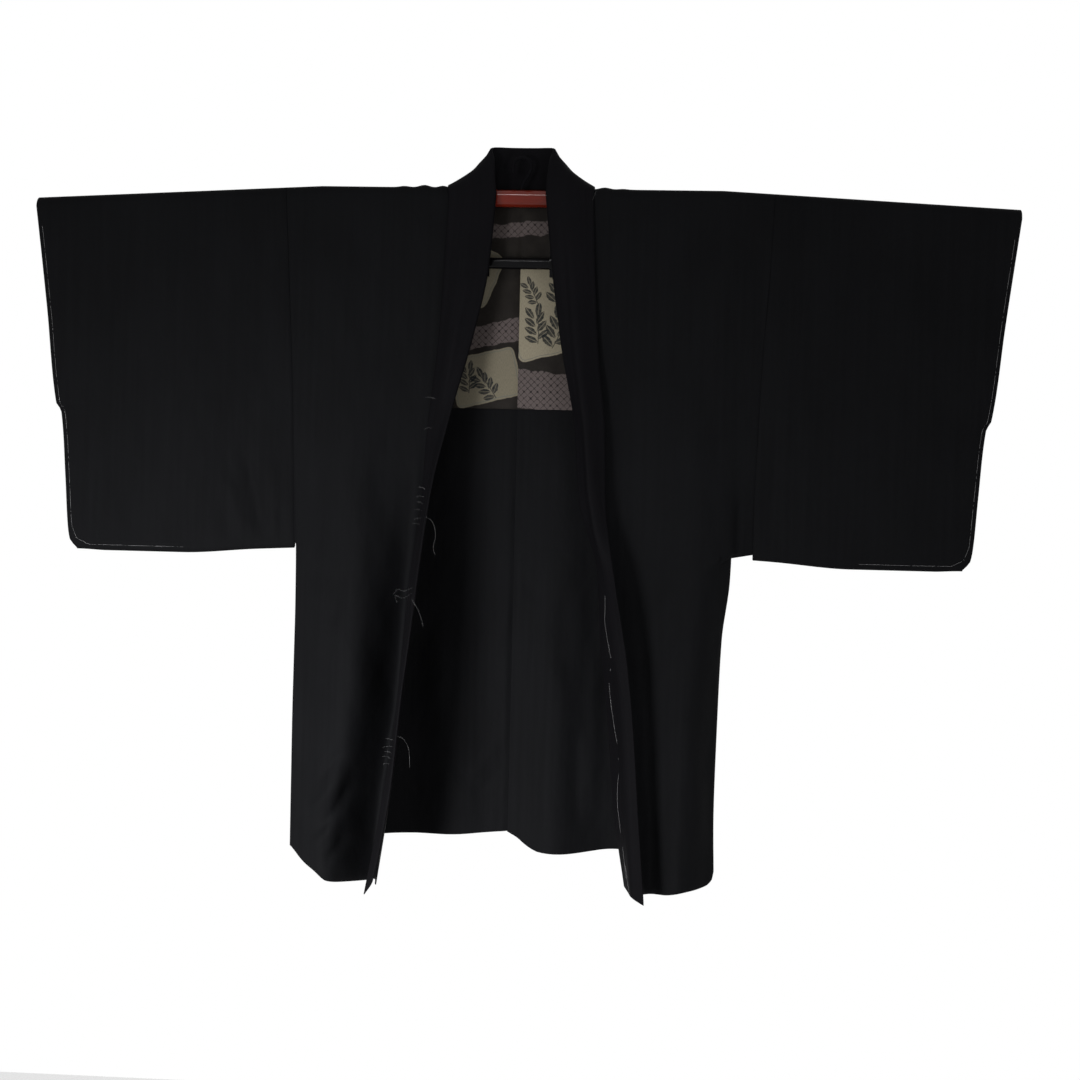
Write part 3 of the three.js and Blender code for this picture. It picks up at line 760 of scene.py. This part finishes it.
def bodyHalf(side):
    front, back = frontPanel(side), backPanel(side)
    columns = body["columns"]
    shoulder = overShoulder(side, front[-1, :, 0], overRod)
    neckRow = overShoulder(side, back[0, :, 0], np.array([body["neckAngle"]]))
    wide = back.shape[1]

    def padded(rows):
        out = np.full((len(rows), wide, 3), np.nan)
        out[:, :columns] = rows
        return out

    grid = np.concatenate([padded(front), padded(shoulder), neckRow, back])
    run = lengthAlong(grid[:, columns // 2])
    run -= run[len(front)]
    uv = np.stack([grid[..., 0], np.broadcast_to(run[:, None], grid.shape[:2])], -1)
    grid[..., 0] *= sideSign[side]
    known = ~np.isnan(grid[..., 0])
    index = np.full(known.shape, -1)
    index[known] = np.arange(known.sum())
    cells = gridCells(index, flip=side == "left")
    obj = wall("body_" + side + "_cloth", grid[known], cells, uv[known], body["thickness"], bodySilk)
    place(obj, ["body_" + side])
    return obj, {"front": grid[:len(front), :columns], "back": grid[-len(back):]}


bodyPieces, bodyGrids = {}, {}
for side in sideSign:
    bodyPieces[side], bodyGrids[side] = bodyHalf(side)
print("stage: body")

# sleeves

sleeve = {
    "rows": 84, "stations": 64, "thickness": 1.2, "shutFrom": 0.8, "shutHalf": 1.0, "closedFrom": 0.59,
    "fade": {"inner": 0.04, "outer": 0.06, "hem": 0.05}, "underside": 2.4,
    "edge": {"share": [0, 0.3, 0.575, 0.605, 0.8, 0.93, 0.975, 1],
             "x": [660, 643, 628, 622, 614, 609.5, 606, 596]},
    "hem": {"x": [296, 350, 450, 600], "z": [-526, -529, -536, -536]},
    "front": {
        "right": [
            (374, -385, 340, -522, 9, -4.2, 4), (396, -420, 360, -528, 11, 3.4, 0),
            (334, -400, 318, -520, 9, 2.8, 0), (318, -470, 312, -530, 6, -2.2, 0),
            (470, -120, 440, -420, 34, 0.9, 8), (560, -160, 520, -480, 30, -0.9, 0),
            (420, -60, 400, -240, 24, -0.8, 0), (610, -120, 590, -440, 18, 0.8, 0),
        ],
        "left": [
            (352, -360, 336, -530, 10, -1.8, 3), (376, -420, 366, -530, 12, 1.2, 0),
            (330, -80, 326, -330, 9, 0.9, 0), (450, -100, 470, -400, 32, -0.8, 0),
            (540, -160, 560, -480, 30, 0.9, 8), (600, -100, 590, -420, 22, -0.8, 0),
        ],
    },
    "back": {
        "right": [(360, -330, 340, -520, 12, -2.0, 3), (450, -120, 470, -460, 30, 1.0, 0),
                  (560, -120, 540, -460, 26, -1.0, 0)],
        "left": [(356, -350, 340, -520, 12, -2.2, 3), (470, -120, 450, -460, 30, 1.0, 0),
                 (550, -140, 560, -480, 26, -1.0, 0)],
    },
}


def sleeveLayer(side, layer):
    share = np.linspace(1, 0, sleeve["rows"])[None, :]
    along = np.linspace(0, 1, sleeve["stations"])[:, None]
    outX = read(sleeve["edge"]["share"], sleeve["edge"]["x"], share)
    inX = read(armholeSeam[side]["z"], armholeSeam[side]["x"], mix(-40, armpit, share)) + seamInset
    x = mix(inX, outX, along)
    z = mix(rodHeight(x), read(sleeve["hem"]["x"], sleeve["hem"]["z"], x), share)
    closing = np.where(share > sleeve["closedFrom"], smooth(along, sleeve["shutFrom"], 1), 0)
    half = mix(read(sleeveDepth["share"], sleeveDepth["half"], share), sleeve["shutHalf"], closing)
    y = -half if layer == "front" else half
    points = np.stack(np.broadcast_arrays(x, y, z), -1)
    drop = rodHeight(x) - z
    fade = sleeve["fade"]
    sides = smooth(along, 0, fade["inner"]) * smooth(1 - along, 0, fade["outer"])
    edge = sides * smooth(1 - share, 0, fade["hem"])
    return settle(points, drop, edge, sleeve[layer][side], 31 + len(side) + len(layer))


def sleevePiece(side):
    front, back = sleeveLayer(side, "front"), sleeveLayer(side, "back")
    topX = front[:, -1, 0]
    angles = np.append(overRod, body["neckAngle"])
    arc = overShoulder(side, topX, angles).transpose(1, 0, 2)
    under = front[:, :1].copy()
    half = np.minimum(-under[..., 1], sleeve["underside"])
    under[..., 1] = 0
    under[..., 2] -= half
    grid = np.concatenate([front, arc, back[:, ::-1], under], 1)
    run = lengthAlong(grid[len(grid) // 2])
    uv = np.stack(np.broadcast_arrays(grid[..., 0], run[None, :]), -1)
    grid[..., 0] *= sideSign[side]
    name, thickness = "sleeve_" + side + "_cloth", sleeve["thickness"]
    obj = gridWall(name, grid, uv, thickness, bodySilk, side == "right", True)
    place(obj, ["sleeve_" + side])
    return obj, grid[:, :sleeve["rows"]]


sleevePieces, sleeveFronts = {}, {}
for side in sideSign:
    sleevePieces[side], sleeveFronts[side] = sleevePiece(side)
print("stage: sleeves")

# side gussets

gusset = {
    "from": 0.552, "rows": 60, "columns": 14, "line": (0.05, 0.95), "inset": 2.4, "tuck": 17,
    "thickness": 1.0,
}


def gussetPiece(side):
    grids = bodyGrids[side]
    rows = np.linspace(gusset["from"], 1, gusset["rows"])
    where = rows * (body["rows"] - 1)
    step = np.arange(body["rows"])

    def edgeOf(grid):
        return np.stack([np.interp(where, step, grid[:, 0, k]) for k in range(3)], -1)

    front, back = edgeOf(grids["front"][::-1]), edgeOf(grids["back"])
    t = np.linspace(*gusset["line"], gusset["columns"])[None, :, None]
    grid = mix(front[:, None], back[:, None], t)
    tuck = gusset["tuck"] * smooth(rows, armpitShare - 0.1, 1)
    grid[..., 0] -= sideSign[side] * (tuck[:, None] * np.sin(math.pi * t[..., 0]) + gusset["inset"])
    name = "gusset_" + side + "_cloth"
    obj = gridWall(name, grid, grid[..., 1:], gusset["thickness"], bodySilk, side == "right")
    return place(obj, ["gusset_" + side])


gussetPieces = {side: gussetPiece(side) for side in sideSign}

# lining of the upper back

lining = {"top": -60, "end": -334, "rows": 60, "thickness": 0.7, "margin": 8, "offset": 1.6}


def liningPiece(side):
    back = bodyGrids[side]["back"]
    normals = gridNormals(back)
    if normals[..., 1].mean() < 0:
        normals = -normals
    z = np.linspace(lining["top"], lining["end"], lining["rows"])
    grid = np.empty((len(z), back.shape[1] - 1, 3))
    facing = np.empty_like(grid)
    for c in range(1, back.shape[1]):
        heights = back[::-1, c, 2]
        for k in range(3):
            grid[:, c - 1, k] = np.interp(z, heights, back[::-1, c, k])
            facing[:, c - 1, k] = np.interp(z, heights, normals[::-1, c, k])
    grid[:, 0, 0] -= lining["margin"] * sideSign[side]
    grid[:, 0, 0] = mix(grid[:, 0, 0], grid[:, 1, 0], 0.5)
    grid -= facing * lining["offset"]
    name, uv = "lining_" + side + "_cloth", grid[..., [0, 2]]
    obj = gridWall(name, grid, uv, lining["thickness"], liningFinish, side == "right")
    return place(obj, ["lining_" + side])


liningPieces = {side: liningPiece(side) for side in sideSign}
print("stage: lining")

# collar: one strip round the neck, folded in half outwards

collarRun = {
    "left": {
        "z": [-53, -150, -250, -350, -450, -540, -640, -720, -840, -940],
        "foldX": [33.8, 45, 60, 80, 89.5, 118, 125, 136, 147, 164.4],
        "foldY": [-20, -21, -24, -27, -30, -38, -46, -48, -48, -48],
        "ridgeX": [65, 73, 82, 96, 106, 127, 145.5, 156, 166, 173],
        "ridgeY": [-24, -32, -40, -48, -54, -64, -84, -89.5, -91.5, -89.5],
        "freeX": [97, 102, 109.5, 121, 125.5, 139.5, 158.5, 168.5, 179, 188.4],
        "freeY": [-17.5, -21, -26, -34, -44, -76, -92, -96, -98, -96],
    },
    "right": {
        "z": [-53, -150, -250, -350, -450, -540, -640, -720, -840, -940],
        "foldX": [31.5, 38.6, 57.7, 81.5, 101, 110, 118.5, 127, 137.5, 152.8],
        "foldY": [-20, -24, -32, -54, -84, -106, -124, -130, -132, -130],
        "ridgeX": [64, 70, 83, 97.2, 109.5, 118.7, 125.6, 132.7, 146, 163],
        "ridgeY": [-24, -33, -40, -46, -64, -84, -100, -104, -105, -104],
        "freeX": [95, 99.5, 105, 114.7, 119.5, 128.7, 135, 141, 158, 176],
        "freeY": [-17.5, -20, -24, -31, -42, -62, -76, -80, -82, -82],
    },
}
neckRun = {
    "seam": [(91.6, -10.2, -43.6), (91.6, 0, -39.4), (91.2, 8.9, -42.8), (82, 12.6, -46.6),
             (48, 12.8, -46.8)],
    "fold": [(34, -16, -28), (36.5, -7, -3), (40.5, 7, 16), (34, 17, 19.5), (20, 20.5, 20)],
    "ridge": [(66, -19, -37), (67, -6, -19), (66, 10, -15), (57, 20.5, -14), (36, 24, -14)],
    "free": [(97.5, -14, -41.5), (98, 0, -36.4), (96.5, 13, -41.5), (85, 20.5, -50), (52, 23.5, -50)],
}
neckCentre = {"seam": (0, 12.8, -46.8), "fold": (0, 21, 20), "ridge": (0, 25, -14), "free": (0, 24.5, -50)}
collar = {
    "runRows": 130, "neckSteps": 10, "joinRows": 13, "inner": 12, "arc": 9, "outer": 26,
    "thickness": 1.4, "roll": 3.0, "rollCorner": 0.35, "sag": 7, "bulge": 0.55,
    "uneven": 0.45, "unevenWidth": 60, "insideDepth": 60,
    "clear": {"upper": 1.2, "left": 2.4, "right": 2.4},
    # marks across the strip: along the run, across it from fold 0 to free edge 1
    "marks": {
        "right": [(-150, 0.1, 0.95, 7, -1.4), (-166, 0.15, 0.9, 6, 1.0), (-214, 0.1, 0.8, 8, -1.3),
                  (-300, 0.2, 0.9, 10, -0.8), (-226, 0.2, 0.9, 7, 0.8)],
        "left": [(-180, 0.2, 0.9, 12, -0.8), (-330, 0.1, 0.9, 14, 0.8), (-470, 0.1, 0.9, 12, -1.0)],
    },
    # folds down the inside of the back: place at the top and the bottom, half width, depth
    "insideFolds": [(8, 5, 6, 2.6), (-12, -26, 6, 2.2), (-24, -34, 5, -1.6), (20, 26, 7, -1.4)],
}


def runStations(side):
    share = np.linspace(1, 0, collar["runRows"])
    run, folds, hem = collarRun[side], frontFold[side], frontHem[side]
    z = mix(rod["height"], lowest, share)

    def at(table, name, hemZ):
        x, y = (read(table["z"], table[name + axis], z) for axis in "XY")
        return np.stack([x, y, mix(rod["height"], hemZ, share)], -1)

    seam, fold = at(folds, "seam", hem["seam"]), at(run, "fold", hem["fold"])
    clear = mix(collar["clear"]["upper"], collar["clear"][side], smooth(share, 0.4, 0.6))
    seam += unit(fold - seam) * clear[:, None]
    ridge, free = (at(run, name, hem[name]) for name in ("ridge", "free"))
    return {"seam": seam, "fold": fold, "ridge": ridge, "free": free}


def collarStations():
    runs = {side: runStations(side) for side in sideSign}
    reach = collar["joinRows"]
    stations = {}
    for name in ("seam", "fold", "ridge", "free"):
        left = runs["left"][name]
        right = runs["right"][name][::-1] * (-1, 1, 1)
        half = np.array(neckRun[name], float)
        neck = np.concatenate([half, [neckCentre[name]], (half * (-1, 1, 1))[::-1]])
        # the neck's rows join the two runs on one smooth curve
        controls = np.concatenate([left[-reach::6], neck, right[:reach:6]])[:, None]
        inside = np.arange(2, len(controls) - 2)
        steps = np.linspace(inside[0], inside[-1], (len(inside) - 1) * collar["neckSteps"] + 1)[1:-1]
        arc = throughPoints(controls, (steps / (len(controls) - 1))[None, :])[0]
        stations[name] = np.concatenate([left, arc, right])
    # the strip sags a little between its seam and its fold where it climbs from the shoulder
    height = stations["fold"][:, 2]
    outward = np.abs(stations["seam"][:, 0])
    stations["sag"] = collar["sag"] * smooth(height, -30, 10) * smooth(outward, 60, 90)
    return stations


def collarSections(stations):
    seam, fold, ridge, free = (stations[k] for k in ("seam", "fold", "ridge", "free"))
    toSeam, toRidge = unit(seam - fold), unit(ridge - fold)
    middle, across = unit(toSeam + toRidge), unit(toSeam - toRidge)
    roll = collar["roll"]
    inner = fold + middle * roll + across * roll
    outer = fold + middle * roll - across * roll
    parts = []
    for t in np.linspace(0, 1, collar["inner"], endpoint=False):
        parts.append(mix(seam, inner, t) - stations["sag"][:, None] * (0, 0, 4 * t * (1 - t)))
    for t in np.linspace(0, 1, collar["arc"], endpoint=False):
        corner = fold - middle * roll * collar["rollCorner"]
        parts.append(inner * (1 - t) ** 2 + 2 * corner * t * (1 - t) + outer * t**2)
    last = np.stack([outer, mix(outer, ridge, collar["bulge"]), ridge, free])
    t = np.broadcast_to(np.linspace(0, 1, collar["outer"]), (len(seam), collar["outer"]))
    parts.extend(throughPoints(last, t).transpose(1, 0, 2))
    return np.stack(parts, 1)


def collarPiece():
    stations = collarStations()
    grid = collarSections(stations)
    rows, columns = grid.shape[:2]
    normals = gridNormals(grid)
    foldColumn = collar["inner"] + collar["arc"] // 2
    across = np.clip((np.arange(columns) - foldColumn) / (columns - 1 - foldColumn), 0, 1)
    amount = np.zeros((rows, columns))
    z = grid[:, foldColumn, 2]
    isLeft = grid[:, foldColumn, 0] > 0
    for side, marks in collar["marks"].items():
        mine = isLeft if side == "left" else ~isLeft
        for at, low, high, width, height in marks:
            reach = smooth(across, low, low + 0.3) * smooth(1 - across, 1 - high, 1.3 - high)
            amount += height * (np.exp(-(((z - at) / width) ** 2)) * mine)[:, None] * reach[None, :]
    run = lengthAlong(grid[:, foldColumn])
    slow = unevenness(across * collar["unevenWidth"], run[:, None], 47, collar["uneven"])
    slow = slow * smooth(across, 0.1, 0.5) * smooth(1 - across, 0, 0.2)
    inside = np.zeros((rows, columns))
    down = np.clip((stations["fold"][:, None, 2] - grid[..., 2]) / collar["insideDepth"], 0, 1)
    for top, bottom, width, depth in collar["insideFolds"]:
        inside += depth * np.exp(-(((grid[..., 0] - mix(top, bottom, down)) / width) ** 2))
    behind = smooth(grid[..., 1], 8, 14) * (np.arange(columns) < collar["inner"])
    grid[..., 1] += inside * behind * np.sin(math.pi * np.clip(down, 0, 0.98)) ** 0.5
    # outwards is away from the fold's inside
    sign = np.sign(np.sum(normals[:, -8] * (grid[:, -8] - grid[:, 3])))
    grid = grid + normals * sign * (amount + slow)[..., None]
    width = lengthAlong(grid[rows // 4])
    uv = np.stack(np.broadcast_arrays(width[None, :], run[:, None]), -1)
    obj = gridWall("collar_cloth", grid, uv, collar["thickness"], collarSilkPaintedShade)
    place(obj, ["collar"])
    return obj, grid, normals.reshape(-1, 3).mean(0) * sign


collarObject, collarGrid, collarOutward = collarPiece()
print("stage: collar")

# hanger


def roundBar(name, start, end, radius, material, sides=72):
    start, end = np.array(start, float), np.array(end, float)
    length = np.linalg.norm(end - start)
    axis = (end - start) / length
    side = unit(np.cross(axis, (0, 1, 0)))
    other = np.cross(axis, side)
    nose = radius * 0.35  # rounding of the ends
    curve = np.radians(np.linspace(0, 90, 7))
    outline = [(radius - nose + nose * math.sin(a), nose - nose * math.cos(a)) for a in curve]
    outline += [(r, length - h) for r, h in outline[::-1]]
    around = np.linspace(0, 2 * math.pi, sides, endpoint=False)
    ring = np.cos(around)[:, None] * side + np.sin(around)[:, None] * other
    points = np.concatenate([start + axis * h + ring * r for r, h in outline])
    count = len(outline)
    index = np.arange(count * sides).reshape(count, sides)
    faces = [list(f) for f in gridCells(index, ring=True)]
    points = np.concatenate([points, [start, end]])
    first, last = count * sides, count * sides + 1
    faces += [[int(index[0, (k + 1) % sides]), int(index[0, k]), first] for k in range(sides)]
    faces += [[int(index[-1, k]), int(index[-1, (k + 1) % sides]), last] for k in range(sides)]
    obj = newMesh(name, points, faces, None, material)
    obj.data.calc_loop_triangles()
    corners = [points[list(triangle.vertices)] for triangle in obj.data.loop_triangles]
    if sum(np.dot(a, np.cross(b, c)) for a, b, c in corners) < 0:
        obj.data.flip_normals()
    return obj


tubeEnds = [(-rod["tubeHalf"], 0, rod["height"]), (rod["tubeHalf"], 0, rod["height"])]
place(roundBar("rod_middle", *tubeEnds, rod["radius"], lacquerFinish), ["hanger_tube"])
for side, sign in sideSign.items():
    near, far = sign * (rod["tubeHalf"] + rod["gap"]), sign * rod["reach"]
    ends = [(x, 0, rodHeight(x)) for x in (near, far)]
    arm = roundBar("rod_arm_" + side, *ends, rod["armRadius"], lacquerFinish)
    place(arm, ["hanger_arm_" + side])
barLow, barHigh = (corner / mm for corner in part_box("obi_bar"))
barHeight, barRadius = (barLow.z + barHigh.z) / 2, (barHigh.z - barLow.z) / 2
barEnds = [(x, 0, barHeight) for x in (barLow.x, barHigh.x)]
lowerBar = roundBar("lower_bar", *barEnds, barRadius, barFinish)
place(lowerBar, ["obi_bar"])
for name in ("bar_strut_left", "bar_strut_right", "hanger_hook"):
    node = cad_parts[name]
    node.data.materials.clear()
    node.data.materials.append(barFinish if "strut" in name else hookFinish)
print("stage: hanger")

# threads


def threadTree():
    tree = bpy.data.node_groups.new("threadRun", "GeometryNodeTree")
    kinds = {"Geometry": "Geometry", "Radius": "Float", "Period": "Float", "Gap": "Float", "Dot": "Float",
             "Seed": "Int", "Material": "Material"}
    sockets = {name: tree.interface.new_socket(name, in_out="INPUT", socket_type="NodeSocket" + kind)
               for name, kind in kinds.items()}
    tree.interface.new_socket("Geometry", in_out="OUTPUT", socket_type="NodeSocketGeometry")
    given = tree.nodes.new("NodeGroupInput").outputs
    out = tree.nodes.new("NodeGroupOutput")

    def node(kind, settings=None, inputs=None, output=0):
        made = tree.nodes.new(kind)
        for key, value in (settings or {}).items():
            setattr(made, key, value)
        for key, value in (inputs or {}).items():
            if isinstance(value, bpy.types.NodeSocket):
                tree.links.new(value, made.inputs[key])
            else:
                made.inputs[key].default_value = value
        return made.outputs[output]

    def worked(operation, a, b=0.0):
        return node("ShaderNodeMath", {"operation": operation}, {0: a, 1: b})

    # each period ends in a gap with a dot of thread in its middle
    run = node("GeometryNodeInputNamedAttribute", {"data_type": "FLOAT"}, {"Name": "run"})
    periods = worked("DIVIDE", run, given["Period"])
    chance = node("FunctionNodeRandomValue", {"data_type": "FLOAT"},
                  {"ID": worked("FLOOR", periods), "Seed": given["Seed"], 2: 0.6, 3: 1.5}, 1)
    phase = worked("FRACT", periods)
    gap = worked("MULTIPLY", given["Gap"], chance)
    inGap = worked("GREATER_THAN", phase, worked("SUBTRACT", 1.0, gap))
    middle = worked("SUBTRACT", 1.0, worked("MULTIPLY", gap, 0.5))
    offMiddle = worked("ABSOLUTE", worked("SUBTRACT", phase, middle))
    cut = worked("MULTIPLY", inGap, worked("GREATER_THAN", offMiddle, given["Dot"]))
    kept = node("GeometryNodeDeleteGeometry", {"domain": "EDGE"},
                {"Geometry": given["Geometry"], "Selection": cut})
    curve = node("GeometryNodeMeshToCurve", {}, {"Mesh": kept})
    profile = node("GeometryNodeCurvePrimitiveCircle", {}, {"Resolution": 7, "Radius": given["Radius"]})
    tube = node("GeometryNodeCurveToMesh", {}, {"Curve": curve, "Profile Curve": profile, "Fill Caps": True})
    soft = node("GeometryNodeSetShadeSmooth", {}, {"Geometry": tube})
    real = node("GeometryNodeRealizeInstances", {}, {"Geometry": soft})
    done = node("GeometryNodeSetMaterial", {}, {"Geometry": real, "Material": given["Material"]})
    tree.links.new(done, out.inputs[0])
    return tree, sockets


threadGroup, threadSockets = threadTree()
threads = {"radius": 0.13, "fine": 0.06, "lift": 0.75, "step": 1.4}
running = {"period": 36, "gap": 0.22, "dot": 0.03}  # basting stitches with gaps between them
unbroken = {"period": 400, "gap": 0.0, "dot": 0.0}


def threadObject(name, lines, radius, stitch, seed):
    # lines are lists of points; the tree cuts them into stitches and gives them thickness
    points, edges, runs = [], [], []
    for line in lines:
        line = np.asarray(line, float)
        lengths = lengthAlong(line)
        count = max(int(lengths[-1] / threads["step"]), 2) + 1
        where = np.linspace(0, lengths[-1], count)
        fine = np.stack([np.interp(where, lengths, line[:, k]) for k in range(3)], -1)
        start = len(points)
        points.extend(fine.tolist())
        runs.extend(where.tolist())
        edges.extend((start + k, start + k + 1) for k in range(count - 1))
    mesh = bpy.data.meshes.new(name + "_line")
    mesh.from_pydata((np.array(points) * mm).tolist(), edges, [])
    mesh.attributes.new("run", "FLOAT", "POINT").data.foreach_set("value", np.array(runs) * mm)  # metres
    obj = bpy.data.objects.new(name + "_line", mesh)
    bpy.context.scene.collection.objects.link(obj)
    modifier = obj.modifiers.new("thread", "NODES")
    modifier.node_group = threadGroup
    values = {"Radius": radius * mm, "Period": stitch["period"] * mm, "Gap": stitch["gap"],
              "Dot": stitch["dot"], "Seed": seed, "Material": threadFinish}
    for key, value in values.items():
        modifier[threadSockets[key].identifier] = value
    bpy.context.view_layer.update()
    made = bpy.data.meshes.new_from_object(obj.evaluated_get(bpy.context.evaluated_depsgraph_get()))
    made.name = name
    bpy.data.objects.remove(obj)  # the bare line
    final = bpy.data.objects.new(name, made)
    bpy.context.scene.collection.objects.link(final)
    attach(final, "root")
    return final


def onGrid(grid, rows, columns, lift, outward):
    # places on a grid of points, by rows and columns with fractions, lifted off the cloth
    normals = gridNormals(grid)
    if np.dot(normals.reshape(-1, 3).mean(0), outward) < 0:
        normals = -normals
    rows = np.clip(np.asarray(rows, float), 0, grid.shape[0] - 1.001)
    columns = np.clip(np.asarray(columns, float), 0, grid.shape[1] - 1.001)
    r, c = rows.astype(int), columns.astype(int)
    down, across = (rows - r)[:, None], (columns - c)[:, None]

    def at(values):
        near = mix(values[r, c], values[r + 1, c], down)
        far = mix(values[r, c + 1], values[r + 1, c + 1], down)
        return mix(near, far, across)

    return at(grid) + unit(at(normals)) * lift


towards = (0, -1, 0)
# basting near the sleeve's edges: share of the way out along it, and share of its depth
sleeveThread = {
    "along": [0.985, 0.985, 0.985, 0.984, 0.982, 0.968, 0.93, 0.75, 0.5],
    "share": [0.06, 0.3, 0.57, 0.62, 0.935, 0.972, 0.99, 0.991, 0.991],
}
corners = np.arange(len(sleeveThread["along"]))
steps = np.linspace(0, corners[-1], 400)
for side in sideSign:
    rows = np.interp(steps, corners, sleeveThread["along"]) * (sleeve["stations"] - 1)
    columns = (1 - np.interp(steps, corners, sleeveThread["share"])) * (sleeve["rows"] - 1)
    line = onGrid(sleeveFronts[side], rows, columns, threads["lift"], towards)
    threadObject("basting_sleeve_" + side, [line], threads["radius"], running, 3 + sideSign[side])


def collarSpots(side, heights, across):
    # spots on the turned-back half of the collar: heights, and shares from its fold to its free edge
    share = (rod["height"] - np.asarray(heights, float)) / (rod["height"] - lowest)
    rows = (1 - share) * (collar["runRows"] - 1)
    if side == "right":
        rows = collarGrid.shape[0] - 1 - rows
    first = collar["inner"] + collar["arc"]
    columns = first + np.asarray(across, float) * (collarGrid.shape[1] - 1 - first)
    return onGrid(collarGrid, rows, columns, threads["lift"] + 0.25, collarOutward)


def wander(points, per=12):
    # smooth line through a few points
    points = np.asarray(points, float)[:, None]
    return throughPoints(points, np.linspace(0, 1, per * len(points))[None, :])[0]


# basting of the left collar: height and share across the turned-back half, in separate stitches
collarBasting = [
    [(-566, 0.48), (-584, 0.36), (-600, 0.28), (-622, 0.33), (-644, 0.41)], [(-658, 0.34), (-661, 0.33)],
    [(-678, 0.22), (-700, 0.2), (-726, 0.24), (-752, 0.33)], [(-770, 0.36), (-773, 0.36)],
    [(-790, 0.34), (-808, 0.26), (-830, 0.21), (-866, 0.25)], [(-884, 0.28), (-900, 0.29), (-922, 0.34)],
    [(-905, 0.34), (-925, 0.42), (-936, 0.56)],
]
basting = []
for stitch in collarBasting:
    heights, across = zip(*stitch)
    basting.append(wander(collarSpots("left", heights, across)))
threadObject("basting_collar", basting, threads["radius"], unbroken, 1)

# catch stitches over the free edge of the right collar: height, length, tilt
catchStitches = [
    (-318, 14, 2), (-356, 10, -1), (-434, 9, 2), (-444, 10, -1), (-453, 8, 2), (-462, 10, 1), (-472, 9, -2),
    (-480, 8, 1), (-752, 10, 1), (-760, 12, -2), (-768, 9, 1), (-775, 11, 2), (-782, 9, -1),
]
catches = []
for height, length, tilt in catchStitches:
    start = collarSpots("right", [height], [0.86])[0]
    end = start + (-length, 2.5, tilt)
    middle = (start + end) / 2 + (0, -0.8, 1.2)
    catches.append(wander([start, middle, end]))
threadObject("catch_stitches", catches, threads["fine"], unbroken, 2)

# loose ends: points in millimetres
looseEnds = [
    [(-104, -110, -484), (-96, -112, -489), (-90, -113, -506), (-93, -112, -524), (-90, -112, -533)],
    [(-117, -128, -590), (-106, -130, -608), (-101, -129, -624)],
    [(-130, -134, -765), (-122, -136, -768), (-115, -136, -781), (-113, -135, -804)],
    [(-122, -86, -576), (-132, -92, -581), (-141, -90, -579), (-147, -88, -586)],
    [(-122, -88, -583), (-133, -93, -590), (-144, -90, -587), (-141, -92, -596)],
    [(101, -19, -45), (99, -21, -51), (97, -21, -57)],
]
threadObject("loose_threads", [wander(line) for line in looseEnds], threads["fine"], unbroken, 4)
print("stage: threads")

# floor, world and lights

floorPaper = {
    "half": 5000, "near": -5000, "far": 1150, "height": -1600,
    "light": (0.86, 0.86, 0.86), "dark": (0.83, 0.83, 0.83), "roughness": 0.9, "specular": 0.1,
}


def stageFloor():
    kinds = floorPaper
    look = Finish("floorPaper", {"Roughness": kinds["roughness"], "Specular IOR Level": kinds["specular"]})
    tone = look.noise(look.object()[0], 3.0, 2.0)
    look.set("Base Color", look.shades(kinds["dark"], kinds["light"], tone))
    half, near, far = kinds["half"], kinds["near"], kinds["far"]
    corners = [(x, y, kinds["height"]) for x, y in ((-half, near), (half, near), (half, far), (-half, far))]
    newMesh("floor", corners, [[0, 1, 2, 3]], None, look.material)


stageFloor()

# places and aims in metres; a spot also has its cone in degrees
lights = {
    "key": {"kind": "SPOT", "at": (-1.4, -2.45, -1.12), "size": 0.5, "power": 930, "aim": (-0.38, 0, -0.96),
            "cone": 37},
    "front": {"kind": "AREA", "at": (-1.7, -3.4, 0.0), "size": 1.8, "power": 8, "aim": (0, 0, -0.45)},
    "low": {"kind": "AREA", "at": (1.7, -2.4, -1.4), "size": 1.2, "power": 28, "aim": (0.1, 0, -0.75)},
    "top": {"kind": "AREA", "at": (-0.18, -1.5, 1.5), "size": 0.22, "power": 3, "aim": (0, 0, -0.05)},
    "rear": {"kind": "AREA", "at": (1.6, 2.6, 0.8), "size": 1.6, "power": 40, "aim": (0, 0, -0.45)},
}
for name, light in lights.items():
    data = bpy.data.lights.new(name, light["kind"])
    data.energy = light["power"]
    if light["kind"] == "AREA":
        data.shape, data.size = "DISK", light["size"]
    else:
        data.shadow_soft_size, data.spot_blend = light["size"], 1.0
        data.spot_size = math.radians(light["cone"])
    lamp = bpy.data.objects.new(name, data)
    lamp.location = light["at"]
    way = Vector(light["aim"]) - Vector(light["at"])
    lamp.rotation_euler = way.to_track_quat("-Z", "Y").to_euler()
    bpy.context.scene.collection.objects.link(lamp)

# a pale room: white behind the cloth, softer in front of it
room = {"white": 1.0, "soft": 0.72, "from": 0.3, "to": 0.88}
world = bpy.data.worlds.new("studio")
bpy.context.scene.world = world
world.use_nodes = True
air = Value(world.node_tree, None)
ahead = air.node("ShaderNodeSeparateXYZ", {}, {0: air.node("ShaderNodeTexCoord")}, 1)
shade = mix(room["soft"], room["white"], ahead.step(room["from"], room["to"]))
background = world.node_tree.nodes["Background"]
world.node_tree.links.new(shade.socket, background.inputs["Strength"])
background.inputs["Color"].default_value = (1, 1, 1, 1)
bpy.context.scene.view_settings.view_transform = "Standard"
print("stage: lights")
